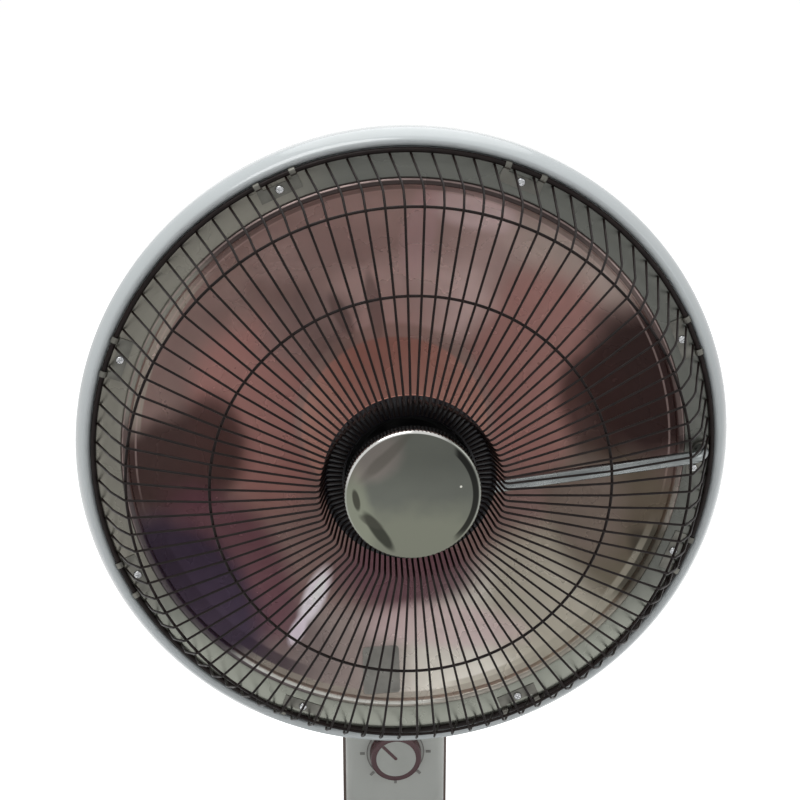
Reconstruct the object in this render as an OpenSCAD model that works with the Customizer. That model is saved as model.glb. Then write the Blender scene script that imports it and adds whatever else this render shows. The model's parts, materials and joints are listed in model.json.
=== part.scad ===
// Parabolic dish heater: a round head with a wire guard, on a pillar, on a round weighted base.
// +Z is up, the front faces -Y and the origin is the middle of the base, at the floor.
// The head is drawn lying down: its own +Z is the way the heat goes, and Z 0 is the plane
// of the guard's outer ring.

/* [Head] */
// Height of the head's middle above the floor
head_z = 440; // [425:1:480]
// Gap between the back of the head and the front of the pillar
head_gap = 15; // [14:0.5:20]
// Width of the white rim outside the guard
rim_w = 9.7; // [8:0.1:14]
// Depth of the rim behind the guard's outer ring
rim_depth = 24; // [20:1:28]
// Wall of the plastic shells of the head
shell_t = 2.2; // [1.8:0.1:3]
// Room between the middle of the dish and the back of the rear shell
shell_room = 23.26; // [21:0.01:30]
// Radius of the flat back of the rear shell
back_r = 70; // [60:1:80]
// Number of vent slots in the rear shell
vent_n = 22; // [12:1:26]

/* [Dish] */
// Focal length of the dish
dish_focal = 100; // [96:1:110]
// Radius where the dish meets its bead
dish_r = 166; // [160:1:168]
// Sheet thickness of the dish
dish_t = 0.8; // [0.6:0.1:1.2]
// Radius of the bead around the dish
bead_r = 2.6; // [2:0.1:3]
// Depth of the dish's edge behind its flange
edge_drop = 3.2; // [2:0.1:4]
// How far the guard's outer ring lies outside the dish's edge
flange_w = 21; // [19:0.5:24]

/* [Guard] */
// Number of radial wires
wire_n = 96; // [48:8:96]
// Radius of a radial wire
wire_r = 0.72; // [0.6:0.02:0.8]
// Radius of the outer ring's wire
ring_wire_r = 1.6; // [1.4:0.1:2]
// Radius of the inner rings' wire
thin_wire_r = 0.85; // [0.7:0.05:1]
// Sideways lean of the wires' outer legs, in degrees round the head
wire_lean = 1.6; // [0:0.1:2.5]
// How far inside the outer ring the wires turn in
corner_step = 14.5; // [12:0.5:19]
// Height of that turn in front of the outer ring
corner_d = 33.5; // [30:0.5:38]
// How far the second ring lies inside the outer ring
ring_two_step = 23.8; // [21:0.2:30]
// Radius of the third ring
ring_three_r = 115.3; // [100:0.1:130]
// Height of the guard's face in front of the outer ring
face_d = 55.6; // [52:0.2:58]
// Radius where the wires step back to the hub
kink_r = 53; // [52.4:0.1:56]
// Number of clips that hold the guard
clip_n = 8; // [4:4:8]

/* [Hub] */
// Outer radius of the steel hub plate
hub_r = 51; // [49:0.2:51]
// Inner radius of the hub plate, the mouth of the black well
well_r = 38.6; // [38.2:0.1:40]
// Height of the hub plate in front of the outer ring
hub_d = 32; // [30:0.5:33]
// Radius of the chrome cap
cap_r = 39.3; // [34:0.1:41]
// Height of the cap's edge in front of the outer ring
cap_d = 59; // [56:0.5:60]
// Height of the cap's dome
cap_dome = 4.5; // [3:0.1:6]
// Depth of the black well behind the hub plate
well_depth = 19; // [17:1:20]
// Radius of the ceramic core
core_r = 17; // [14:0.5:18]
// Length of the ceramic core
core_len = 34; // [32:1:36]
// Number of turns of the heating element
coil_n = 10; // [6:1:10]
// Radius of the element's wound wire
coil_wire_r = 0.9; // [0.7:0.05:0.95]

/* [Lead tube] */
// Outer radius of the tube that brings the leads to the hub
tube_r = 4; // [3:0.1:4]
// How far the tube's upright end lies inside the guard's outer ring
tube_step = 6.5; // [6.2:0.1:7]
// Radius of the tube's bend
tube_bend = 10; // [8:0.5:12]

/* [Pillar] */
// Width of the pillar over its brown strips
pillar_w = 76.4; // [72:0.2:80]
// Depth of the pillar
pillar_d = 56; // [54:1:60]
// How far the pillar's middle stands behind the base's middle
pillar_y = 40; // [38:1:42]
// How far the brown strip stands out
trim_out = 2; // [1.5:0.1:2.5]
// How far the brown strip lies behind the pillar's front
trim_step = 10; // [9:0.5:14]
// Wall of the pillar's covers
pillar_t = 2.4; // [2:0.1:2.6]
// Radius of the pillar's upright corners
pillar_round = 6; // [4:0.5:7]
// Width of the slot between the pillar's ears
fork_w = 43; // [42:0.5:46]
// Width of the steel frame tube
frame_w = 39; // [37:0.5:39]
// Depth of the steel frame tube
frame_d = 24; // [20:0.5:26]
// Wall of the steel frame tube
frame_t = 2; // [1.5:0.1:2.5]

/* [Tilt] */
// Distance of the tilt pin below the head's middle
tilt_drop = 30; // [26:1:32]
// Radius of the tilt pin
pin_r = 4; // [3:0.1:5]
// Radius of the tilt bracket's ears
lug_r = 13; // [11:0.5:14]
// Thickness of the tilt bracket's plate
lug_t = 3; // [2:0.1:3.4]

/* [Dial] */
// Height of the dial's middle above the floor
dial_z = 167; // [150:1:190]
// Radius of the knob
knob_r = 18.9; // [16:0.1:20]
// Height of the knob in front of the pillar
knob_h = 9; // [7:0.2:11]
// Radius of the knob's grey face
knob_face_r = 14.4; // [12:0.1:15]
// Turn of the pointer from upright, in degrees to the left
pointer_turn = 42; // [0:1:45]
// Radius of the ticks' circle
tick_r = 24.2; // [23:0.1:26]
// Length of a tick
tick_len = 3.6; // [2.6:0.1:4]
// Width of a tick
tick_w = 2; // [1:0.1:2.4]
// Distance of the swing button below the dial
button_drop = 62; // [52:1:70]
// Radius of the swing button
button_r = 7; // [5:0.2:9]

/* [Base] */
// Radius of the base
base_r = 168; // [166:1:180]
// Height of the base's rim above the floor
base_rim_z = 16; // [15:0.5:20]
// Height of the base's dome above the floor
base_top_z = 47; // [46:0.5:50]
// Radius of the turning boss at its top
boss_r = 54; // [52:0.5:58]
// Height of the turning boss above the floor
boss_z = 52; // [51.5:0.5:56]
// Wall of the base's cover
base_t = 2.5; // [2:0.1:3]
// Height of the rubber feet
foot_h = 6; // [5:0.5:7]
// How far the feet's circle lies inside the base's edge
foot_step = 21; // [20:0.5:28]
// Thickness of the cast iron weight
ballast_t = 12; // [8:0.5:12]
// Radius of the pillar's turning spigot
spigot_r = 30; // [26:0.5:31]

/* [Swing drive] */
// Tooth module of the swing gears
tooth_m = 1.75; // [1.7:0.01:1.78]
// Number of teeth of the whole sector gear
gear_n = 46; // [46:2:46]
// Number of teeth of the pinion
pinion_n = 16; // [16:2:16]
// Backlash of the gears along the pitch circle
backlash = 0.5; // [0.4:0.05:0.6]
// Radius of the motor's can
motor_r = 25; // [22:0.5:26]
// Travel of the tip-over plunger
plunger_drop = 6; // [4:0.5:6]

/* [Hidden] */
$fn = 48;
touch = 0.05; // gap between faces that rest on each other through a round seat
run_gap = 0.05; // radial clearance of a running fit
clear = 0.3; // gap between pieces that move past each other
cut = 1; // how far a cut runs past the face that it opens
wire_sides = 5;
coil_sides = 6;
coil_steps = 24; // rings in one turn of the element

// ---- Places in the head -------------------------------------------------------------
ring_r = dish_r + flange_w; // the guard's outer ring
corner_r = ring_r - corner_step;
ring_two_r = ring_r - ring_two_step;
seat_d = -ring_wire_r - touch; // front of the dish's flange, where the outer ring rests
flange_r = ring_r + 0.9;
seat_r = ring_r + ring_wire_r + clear; // inner wall of the rim
rim_r = seat_r + rim_w;
ledge_d = seat_d - dish_t - touch; // front of the rim's ledge behind the flange
ledge_r = dish_r + 2 * bead_r + 2.4;
rim_back = -rim_depth;
shell_edge_r = rim_r - 2 - shell_t - 0.2;
dish_edge_d = seat_d - edge_drop;
dish_mid_d = dish_edge_d - dish_r * dish_r / (4 * dish_focal);
shell_back = dish_mid_d - shell_room;
shell_depth = rim_back - shell_back;
post_r = ring_r - 5; // screw posts between the rim and the rear shell
clip_turn = 1.1; // degrees from an even split to the first clip
clip_step = 360 / clip_n;
clip_r = ring_r - 7;
wire_step = 360 / wire_n;
wire_turn = clip_step / 2 + clip_turn + wire_step / 2 - wire_lean; // straddles the clips

// ---- Places in the pillar -----------------------------------------------------------
body_w = pillar_w - 2 * trim_out;
panel_y = pillar_y - pillar_d / 2; // front face of the pillar
shell_y = panel_y - head_gap; // back of the head
ring_front = -shell_back - shell_y; // from the origin to the guard's outer ring
seam_y = panel_y + trim_step;
seam_w = 3; // width of the brown strip
screw_bite = 3.5; // length of a screw in the front cover
cover_screw_x = body_w / 2 - 9.2;
tilt_y = pillar_y + 10;
tilt_z = head_z - tilt_drop;
pillar_top = tilt_z + 22;
fork_z = tilt_z - lug_r - 24;
flange_z = boss_z + 1.6 + touch; // underside of the pillar's foot
cover_z = flange_z + 5; // where the covers stand on the foot
frame_y = pillar_y + 9;
ear_x = frame_w / 2 - frame_t; // inner face of the frame's ears
washer_t = 1.5;
lug_x = ear_x - washer_t - 0.1; // outer face of the bracket's ears

// ---- Places in the base -------------------------------------------------------------
plate_t = 1.5;
plate_z = foot_h + plate_t; // top of the base plate
gear_r = tooth_m * gear_n / 2;
pinion_r = tooth_m * pinion_n / 2;
motor_y = pillar_y - gear_r - pinion_r - 0.1;
motor_h = 19;
gear_z = 29;
gear_t = 6;
bush_t = 4;
dome_in_z = base_top_z - base_t;
screw_ring_r = base_r - 13;
foot_ring_r = base_r - foot_step;
ballast_in_r = base_r - 70;
ballast_screw_r = base_r - 44;
gland_z = 16.4; // height of the cord's inlet
tip_step = 26; // how far the tip-over switch lies inside the weight
tip_x = -(ballast_in_r - tip_step);
tip_y = 28;

// ---- Small helpers ------------------------------------------------------------------
function unit(v) = v / norm(v);
function polar(r, a) = [r * cos(a), r * sin(a)];
function arc(c, r, a0, a1, n) = [for (i = [0:n]) c + polar(r, a0 + (a1 - a0) * i / n)];

module ring(r, in_r, h) {
    difference() {
        cylinder(r = r, h = h);
        translate([0, 0, -cut]) cylinder(r = in_r, h = h + 2 * cut);
    }
}

module around(n, r, turn = 0) {
    for (i = [0:n - 1]) rotate([0, 0, turn + i * 360 / n]) translate([r, 0, 0]) children();
}

module round_rect(w, d, r) {
    square([w - 2 * r, d], center = true);
    square([w, d - 2 * r], center = true);
    for (x = [-1, 1], y = [-1, 1]) translate([x * (w / 2 - r), y * (d / 2 - r)]) circle(r);
}

module pan_screw(head_r, head_h, shank_r, len) {
    cylinder(r1 = head_r, r2 = head_r * 0.72, h = head_h);
    translate([0, 0, -len]) cylinder(r = shank_r, h = len + 0.01);
}

module rod(a, b, r) {
    v = b - a;
    translate(a) rotate([0, acos(v[2] / norm(v)), atan2(v[1], v[0])]) cylinder(r = r, h = norm(v));
}

module head_place() {
    translate([0, -ring_front, head_z]) rotate([90, 0, 0]) children();
}

// Skin over a list of rings of points, closed at both ends
module skin(rings) {
    sides = len(rings[0]);
    last = len(rings) - 1;
    polyhedron(
        points = [for (r = rings) each r],
        faces = concat(
            [for (j = [0:last - 1], k = [0:sides - 1]) each
                let (a = j * sides + k, b = j * sides + (k + 1) % sides)
                [[a, a + sides, b], [b, a + sides, b + sides]]],
            [for (k = [1:sides - 2]) [0, k, k + 1]],
            [for (k = [1:sides - 2]) [last * sides, last * sides + k + 1, last * sides + k]]));
}

// ---- Base ---------------------------------------------------------------------------
function dome_line(inset) = [
    [0, base_top_z - inset],
    [60, base_top_z - 1.5 - inset],
    [110, base_top_z - 8 - inset],
    [base_r - 18, base_top_z - 20 - inset],
    each arc([base_r - 10, base_rim_z], 10 - inset, 60, 0, 6),
];

module dome(inset, floor_z) {
    line = dome_line(inset);
    rotate_extrude($fn = 96)
        polygon(concat(line, [[base_r - inset, floor_z], [0, floor_z]]));
}

module base_cover() {
    color("whitesmoke") difference() {
        union() {
            difference() {
                union() {
                    dome(0, foot_h - 2);
                    translate([0, pillar_y, dome_in_z - 8])
                        cylinder(r1 = boss_r + 3, r2 = boss_r, h = boss_z - dome_in_z + 8, $fn = 96);
                }
                dome(base_t, foot_h - 2 - cut);
            }
            intersection() {
                dome(0.5, foot_h);
                union() {
                    around(6, screw_ring_r, 0) translate([0, 0, plate_z + touch])
                        cylinder(r = 4.5, h = base_top_z - plate_z);
                    translate([-15, base_r - 22, plate_z + touch])
                        cube([30, 30, gland_z + 9 - plate_z]);
                }
            }
        }
        translate([0, pillar_y, plate_z])
            cylinder(r = spigot_r + bush_t + touch, h = boss_z, $fn = 96);
        around(6, screw_ring_r, 0) translate([0, 0, plate_z]) cylinder(r = 1.3, h = 12);
        translate([0, base_r, gland_z]) cube([20, 9, 16.6], center = true);
        translate([0, base_r + cut, gland_z]) rotate([90, 0, 0]) cylinder(r = 6, h = 40);
    }
}

module base_plate() {
    color("silver") difference() {
        translate([0, 0, foot_h]) cylinder(r = base_r - base_t - 0.5, h = plate_t, $fn = 96);
        around(6, screw_ring_r, 0) cylinder(r = 2, h = 20);
        around(4, foot_ring_r, 45) cylinder(r = 3, h = 20);
        around(3, ballast_screw_r, 150) cylinder(r = 2, h = 20);
        for (x = [-1, 1]) translate([x * (motor_r + 5), motor_y, 0]) cylinder(r = 1.8, h = 20);
        translate([tip_x, tip_y, 0]) cylinder(r = 6, h = 20);
    }
}

module ballast() {
    color("dimgray") translate([0, 0, plate_z]) difference() {
        rotate([0, 0, 120]) rotate_extrude(angle = 300, $fn = 96)
            translate([ballast_in_r, 0])
                square([screw_ring_r - 4.5 - clear - ballast_in_r, ballast_t]);
        around(3, ballast_screw_r, 150) cylinder(r = 1.5, h = 40, center = true);
        around(4, foot_ring_r, 45) cylinder(r = 7, h = 8, center = true);
    }
}

module ballast_screws() {
    color("gray") around(3, ballast_screw_r, 150) translate([0, 0, foot_h]) rotate([180, 0, 0])
        pan_screw(4, 2, 1.4, plate_t + 7);
}

module base_feet() {
    color("black") around(4, foot_ring_r, 45) {
        cylinder(r1 = 10, r2 = 11, h = foot_h);
        cylinder(r = 2.9, h = plate_z);
        translate([0, 0, plate_z]) cylinder(r1 = 4.5, r2 = 3, h = 2.5);
    }
}

module base_screws() {
    color("gray") around(6, screw_ring_r, 0) translate([0, 0, foot_h]) rotate([180, 0, 0])
        pan_screw(3.6, 1.8, 1.3, plate_t + 8);
}

module swing_bush() {
    $fn = 96;
    color("ivory") translate([0, pillar_y, 0]) {
        translate([0, 0, dome_in_z - 6])
            ring(spigot_r + bush_t, spigot_r + run_gap, boss_z - dome_in_z + 6);
        translate([0, 0, boss_z]) ring(spigot_r + bush_t + 6, spigot_r + run_gap, 1.6);
    }
}

module swing_motor() {
    color("silver") translate([0, motor_y, plate_z]) {
        difference() {
            union() {
                cylinder(r = motor_r, h = motor_h - 2);
                for (x = [-1, 1]) translate([x * (motor_r + 5), 0, 0]) cylinder(r = 5, h = 1.5);
                translate([-motor_r - 5, -5, 0]) cube([2 * motor_r + 10, 10, 1.5]);
                translate([0, 0, motor_h - 2]) cylinder(r = 7, h = 2);
                translate([-9, -motor_r - 6, 2]) cube([18, 10, 12]);
            }
            translate([0, 0, 6]) cylinder(r = 3.5 + run_gap, h = 30);
            for (x = [-1, 1]) translate([x * (motor_r + 5), 0, -cut]) cylinder(r = 1.5, h = 5);
        }
    }
}

module motor_screws() {
    color("gray") for (x = [-1, 1])
        translate([x * (motor_r + 5), motor_y, foot_h]) rotate([180, 0, 0])
            pan_screw(3.4, 1.8, 1.4, plate_t + 3);
}

module motor_shaft() {
    color("silver") translate([0, motor_y, plate_z + 7])
        cylinder(r = 3.5, h = gear_z + gear_t + 2 - plate_z - 7);
}

// Outline of a spur gear: a tooth where its number lies within the sector, else a plain arc
function inv_deg(a) = tan(a) * 180 / PI - a;
function flank_turn(r, base, half) = half - inv_deg(acos(min(1, base / r)));
function tooth(n, i, thin, first_turn) =
    let (
        pitch = tooth_m * n / 2,
        pressure = 25,
        base = pitch * cos(pressure),
        root = pitch - 1.2 * tooth_m,
        tip = pitch + 0.95 * tooth_m,
        half = 90 / n - thin / (2 * pitch) * 180 / PI + inv_deg(pressure),
        radii = [root, for (k = [0:5]) max(root + 0.1, base) + (tip - max(root + 0.1, base)) * k / 5],
        at = first_turn + i * 360 / n)
    concat(
        [for (r = radii) polar(r, at - flank_turn(r, base, half))],
        [for (k = [len(radii) - 1:-1:0]) polar(radii[k], at + flank_turn(radii[k], base, half))]);
function plain_arc(n, i, first_turn) =
    [for (k = [-1, 0, 1]) polar(tooth_m * (n / 2 - 1.2), first_turn + (i + k / 3) * 360 / n)];
function gear_line(n, first_turn, sector) =
    [for (i = [0:n - 1]) each (abs(i) <= sector || abs(i - n) <= sector
        ? tooth(n, i, backlash / 2, first_turn) : plain_arc(n, i, first_turn))];

module swing_pinion() {
    color("ivory") translate([0, motor_y, 0]) difference() {
        union() {
            translate([0, 0, gear_z - 0.5]) linear_extrude(gear_t + 1)
                polygon(gear_line(pinion_n, 90, pinion_n));
            translate([0, 0, gear_z - 1.5]) cylinder(r = 7, h = 1);
        }
        translate([0, 0, gear_z - 3]) cylinder(r = 3.5 + 0.02, h = gear_t + 8);
    }
}

module swing_gear() {
    color("ivory") translate([0, pillar_y, gear_z]) difference() {
        linear_extrude(gear_t) polygon(gear_line(gear_n, 270 + 180 / gear_n, 9));
        translate([0, 0, -cut]) cylinder(r = 13, h = gear_t + 2 * cut);
        around(3, 22, 30) translate([0, 0, -cut]) cylinder(r = 2, h = gear_t + 2 * cut);
    }
}

module gear_screws() {
    color("gray") translate([0, pillar_y, gear_z]) around(3, 22, 30) rotate([180, 0, 0])
        pan_screw(3.6, 1.8, 1.4, gear_t + 8);
}

module tip_holder() {
    color("black") translate([tip_x, tip_y, plate_z]) difference() {
        union() {
            translate([-13, -8, 0]) cube([26, 16, 3]);
            translate([-13, -6, 0]) cube([26, 12, 10]);
            for (x = [-13, 9.6]) translate([x, -6, 0]) cube([3.4, 12, 21]);
        }
        translate([0, 0, 2]) cylinder(r = 5.6, h = 20);
        translate([0, 0, -cut]) cylinder(r = 3.6, h = 20);
    }
}

module tip_switch() {
    color("black") translate([tip_x, tip_y, plate_z + 12.5]) {
        translate([-9.6, -3.2, 0]) cube([19.2, 6.4, 9]);
        for (x = [-7, 0, 7]) translate([x - 0.3, -1.5, 9]) cube([0.6, 3, 4]);
    }
}

module tip_plunger() {
    color("red") translate([tip_x, tip_y, 0]) {
        cylinder(r1 = 7, r2 = 8, h = 2.5);
        cylinder(r = 3.5, h = plate_z + 12.2);
        translate([0, 0, plate_z + 2.2 + plunger_drop]) cylinder(r = 5, h = 1.4);
    }
}

module cord_gland() {
    grip = 17.6; // thickness of the block that the gland is held in
    color("black") translate([0, base_r - 4.5, gland_z]) rotate([90, 0, 0]) {
        difference() {
            union() {
                translate([0, 0, -4.5]) cylinder(r1 = 6, r2 = 8, h = 4.5);
                cylinder(r = 5.95, h = grip + 3);
                translate([0, 0, grip]) cylinder(r = 7.5, h = 3);
            }
            translate([0, 0, -6]) cylinder(r = 3.6, h = 40);
        }
    }
}

// ---- Pillar -------------------------------------------------------------------------
module pillar_foot() {
    color("whitesmoke") translate([0, pillar_y, 0]) difference() {
        union() {
            translate([0, 0, gear_z + gear_t]) cylinder(r = spigot_r, h = flange_z - gear_z - 2, $fn = 96);
            translate([0, 0, flange_z]) cylinder(r1 = 51, r2 = 50, h = 5, $fn = 96);
            translate([0, frame_y - pillar_y, cover_z + 9])
                cube([frame_w + 6, frame_d + 6, 20], center = true);
        }
        translate([0, 0, gear_z]) cylinder(r = 10, h = 80);
        translate([0, frame_y - pillar_y, cover_z + 20])
            cube([frame_w + 0.1, frame_d + 0.1, 40], center = true);
        translate([-40, frame_y - pillar_y, cover_z + 10]) rotate([0, 90, 0])
            cylinder(r = 1.5, h = 80);
        around(3, 22, 30) translate([0, 0, gear_z]) cylinder(r = 1.4, h = 20);
    }
}

module pillar_frame() {
    ear_z = tilt_z - lug_r - 26;
    color("silver") difference() {
        union() {
            translate([-frame_w / 2, frame_y - frame_d / 2, cover_z])
                cube([frame_w, frame_d, ear_z - cover_z]);
            for (x = [-frame_w / 2, ear_x]) translate([x, 0, 0]) {
                translate([0, tilt_y - 10, ear_z - 1]) cube([frame_t, 20, tilt_z - ear_z + 1]);
                translate([0, tilt_y, tilt_z]) rotate([0, 90, 0]) cylinder(r = 10, h = frame_t);
            }
        }
        translate([-ear_x, frame_y - frame_d / 2 + frame_t, cover_z - cut])
            cube([2 * ear_x, frame_d - 2 * frame_t, ear_z - cover_z + 2 * cut]);
        translate([-40, tilt_y, tilt_z]) rotate([0, 90, 0]) cylinder(r = pin_r + 0.02, h = 80);
        translate([-40, frame_y, cover_z + 10]) rotate([0, 90, 0]) cylinder(r = 1.5, h = 80);
    }
}

module frame_screws() {
    color("gray") for (x = [-1, 1])
        translate([x * (frame_w / 2 + 3), frame_y, cover_z + 10]) rotate([0, x * 90, 0])
            pan_screw(3.2, 1.6, 1.45, frame_t + 3);
}

// Solid of the pillar's covers, set back by a wall all round
module pillar_solid(inset) {
    top = pillar_top - inset;
    low = cover_z;
    round_top = 10;
    intersection() {
        translate([0, pillar_y, low]) linear_extrude(top - low)
            round_rect(body_w - 2 * inset, pillar_d - 2 * inset, pillar_round - inset);
        translate([-60, pillar_y, 0]) rotate([90, 0, 90]) linear_extrude(120) union() {
            translate([0, (low + top) / 2 - 6]) square([pillar_d + 2, top - low - 12], center = true);
            translate([0, top - round_top])
                square([pillar_d - 2 * inset - 2 * round_top, 2 * round_top], center = true);
            for (y = [-1, 1]) translate([y * (pillar_d / 2 - inset - round_top), top - round_top])
                circle(round_top);
        }
    }
}

module fork_slot() {
    translate([-fork_w / 2, -60, fork_z]) cube([fork_w, 300, 300]);
}

module slot_walls() {
    for (x = [-fork_w / 2 - pillar_t, fork_w / 2])
        translate([x, panel_y - 10, fork_z - pillar_t]) cube([pillar_t, pillar_d + 20, 300]);
    translate([-fork_w / 2 - pillar_t, panel_y - 10, fork_z - pillar_t])
        cube([fork_w + 2 * pillar_t, pillar_d + 20, pillar_t]);
}

// Both covers are one shell, parted at the seam
module pillar_shell() {
    difference() {
        union() {
            difference() {
                pillar_solid(0);
                translate([0, 0, -cut]) pillar_solid(pillar_t);
                translate([0, pillar_y, cover_z]) linear_extrude(10, center = true)
                    round_rect(body_w - 2 * pillar_t, pillar_d - 2 * pillar_t, 3);
            }
            intersection() {
                pillar_solid(pillar_t / 2);
                slot_walls();
            }
        }
        fork_slot();
        frame_room();
        pin_room();
    }
}

// Room in the ears' inner walls for the steel frame and its bolt
module frame_room() {
    wide = frame_w + 2 * clear;
    translate([-wide / 2, frame_y - frame_d / 2 - clear, cover_z - 20])
        cube([wide, frame_d + 2 * clear, tilt_z - cover_z]);
}

module pin_room() {
    translate([-fork_w / 2 - pillar_t - cut, tilt_y, tilt_z]) rotate([0, 90, 0])
        cylinder(r = 9, h = fork_w + 2 * pillar_t + 2 * cut);
}

screw_levels = [cover_z + 30, cover_z + 170, fork_z - 24];

module screw_places(y) {
    for (x = [-1, 1], z = screw_levels) translate([x * cover_screw_x, y, z])
        rotate([-90, 0, 0]) children();
}

module pillar_front() {
    color("whitesmoke") difference() {
        union() {
            intersection() {
                pillar_shell();
                translate([-60, panel_y - 10, 0])
                    cube([120, seam_y - seam_w / 2 - panel_y + 10, 600]);
            }
            screw_places(panel_y + 0.5) cylinder(r = 3.6, h = seam_y - seam_w / 2 - panel_y - 0.5);
        }
        screw_places(seam_y - seam_w / 2 - screw_bite - 0.5) cylinder(r = 1.3, h = screw_bite + 2);
        translate([0, panel_y - cut, dial_z]) rotate([-90, 0, 0])
            cylinder(r = 5, h = pillar_t + 2 * cut);
        translate([0, panel_y - cut, dial_z - button_drop]) rotate([-90, 0, 0])
            cylinder(r = button_r + clear, h = pillar_t + 2 * cut);
    }
}

module pillar_rear() {
    depth = pillar_y + pillar_d / 2 - seam_y - seam_w / 2;
    color("whitesmoke") difference() {
        union() {
            intersection() {
                pillar_shell();
                translate([-60, seam_y + seam_w / 2, 0]) cube([120, 60, 600]);
            }
            screw_places(seam_y + seam_w / 2) cylinder(r = 4.6, h = depth - 0.5);
        }
        screw_places(seam_y) {
            cylinder(r = 1.8, h = 60);
            translate([0, 0, seam_w / 2 + 6]) cylinder(r = 3.5, h = 60);
        }
        for (i = [0:5]) translate([-12, pillar_y, cover_z + 60 + i * 9]) cube([24, 60, 3.5]);
    }
}

// The brown strip fills the seam between the covers and stands out from it
module pillar_trim() {
    color("rosybrown") intersection() {
        union() {
            pillar_shell();
            difference() {
                pillar_solid(-trim_out);
                translate([0, 0, -cut]) pillar_solid(pillar_t);
                fork_slot();
            }
        }
        translate([-60, seam_y - seam_w / 2, 0]) cube([120, seam_w, 600]);
    }
}

module pillar_screws() {
    color("gray") screw_places(seam_y + seam_w / 2 + 6)
        pan_screw(3.3, 1.8, 1.25, 6 + seam_w + screw_bite);
}

module control_switch() {
    color("dimgray") translate([0, panel_y + pillar_t, dial_z]) rotate([-90, 0, 0])
        difference() {
            union() {
                translate([-15, -15, 1.2]) cube([30, 30, 15]);
                translate([0, 0, -pillar_t - 3]) cylinder(r = 4.8, h = pillar_t + 5);
            }
            translate([0, 0, -10]) cylinder(r = 3 + run_gap, h = 24);
        }
}

module switch_nut() {
    color("silver") translate([0, panel_y, dial_z]) rotate([90, 0, 0]) difference() {
        cylinder(r = 7.5, h = 2, $fn = 6);
        translate([0, 0, -cut]) cylinder(r = 4.85, h = 5);
    }
}

module dial_scale() {
    color("gray") translate([0, panel_y, dial_z]) rotate([90, 0, 0]) {
        rotate([0, 0, 135]) rotate_extrude(angle = 270)
            translate([tick_r - tick_len / 2 - 2, 0]) square([0.8, 0.3]);
        for (i = [0:6]) rotate([0, 0, 135 + 45 * i])
            translate([tick_r - tick_len / 2, -tick_w / 2, 0]) cube([tick_len, tick_w, 0.3]);
    }
}

module dial_shaft() {
    color("silver") translate([0, panel_y - knob_h + 2.6, dial_z]) rotate([-90, 0, 0])
        cylinder(r = 3, h = knob_h - 2.6 + pillar_t + 12);
}

module dial_knob() {
    face_d = 1.2;
    color("brown") translate([0, panel_y, dial_z]) rotate([90, 0, 0]) difference() {
        translate([0, 0, 0.6]) rotate_extrude($fn = 96) polygon([
            [0, 0], [knob_r, 0], [knob_r, 2], each arc([knob_r - 1.6, knob_h - 1.8], 1.2, 0, 90, 4),
            [0, knob_h - 0.6]]);
        translate([0, 0, knob_h - face_d]) cylinder(r = knob_face_r + 0.1, h = 5);
        translate([0, 0, -cut]) cylinder(r = 3.02, h = knob_h - 2.6 + cut);
        translate([0, 0, -cut]) cylinder(r = knob_r - 2.5, h = 3.6 + cut);
    }
}

module dial_face() {
    color("lightgray") translate([0, panel_y - knob_h + 1.2, dial_z]) rotate([90, 0, 0])
        difference() {
            cylinder(r = knob_face_r, h = 1.2, $fn = 96);
            rotate([0, 0, pointer_turn]) translate([-0.9, -0.5, 0.9])
                cube([1.8, knob_face_r + 2, 2]);
        }
}

module swing_button() {
    color("lightgray") translate([0, panel_y, dial_z - button_drop]) rotate([90, 0, 0]) {
        cylinder(r = button_r, h = 4);
        translate([0, 0, -pillar_t - 2.5]) cylinder(r = button_r, h = pillar_t + 2.5);
        translate([0, 0, -pillar_t - 2.5]) cylinder(r = button_r + 2, h = 2);
    }
}

module swing_switch() {
    back = pillar_t + 2.5 + 3 + clear; // room for the button's travel
    color("dimgray") translate([0, panel_y, dial_z - button_drop]) {
        translate([-8, back, -8]) cube([16, 10, 16]);
        for (x = [-button_r - 6, button_r + 2.5])
            translate([x, pillar_t, -8]) cube([3.5, back - pillar_t + 10, 16]);
        translate([-button_r - 6, back + 7, -8]) cube([2 * button_r + 12, 3, 16]);
    }
}

module tilt_pin() {
    color("silver") translate([0, tilt_y, tilt_z]) rotate([0, 90, 0]) {
        translate([0, 0, -frame_w / 2 - 5]) cylinder(r = 7, h = 5, $fn = 6);
        translate([0, 0, -frame_w / 2 - 1]) cylinder(r = pin_r, h = frame_w + 10);
    }
}

module tilt_nut() {
    color("silver") translate([frame_w / 2, tilt_y, tilt_z]) rotate([0, 90, 0])
        difference() {
            cylinder(r = 7, h = 6, $fn = 6);
            translate([0, 0, -cut]) cylinder(r = pin_r + 0.02, h = 20);
        }
}

module friction_washers() {
    color("tan") for (x = [-ear_x, ear_x - washer_t])
        translate([x, tilt_y, tilt_z]) rotate([0, 90, 0])
            ring(9, pin_r + 0.02, washer_t);
}

// ---- Head ---------------------------------------------------------------------------
module tilt_bracket() {
    reach = tilt_y - shell_y;
    color("silver") difference() {
        union() {
            translate([-26, shell_y, tilt_z - 17]) cube([52, 3, 34]);
            for (x = [-lug_x, lug_x - lug_t]) translate([x, 0, 0]) {
                translate([0, shell_y + 1, tilt_z - lug_r]) cube([lug_t, reach - 1, 2 * lug_r]);
                translate([0, tilt_y, tilt_z]) rotate([0, 90, 0]) cylinder(r = lug_r, h = lug_t);
            }
            translate([-lug_x, shell_y + 1, tilt_z + lug_r - 3])
                cube([2 * lug_x, reach - 20, 3]);
        }
        translate([-40, tilt_y, tilt_z]) rotate([0, 90, 0])
            cylinder(r = pin_r + run_gap, h = 80);
        for (x = [-21, 21], z = [-11, 11])
            translate([x, shell_y - cut, tilt_z + z]) rotate([-90, 0, 0]) cylinder(r = 2.2, h = 6);
    }
}

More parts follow.
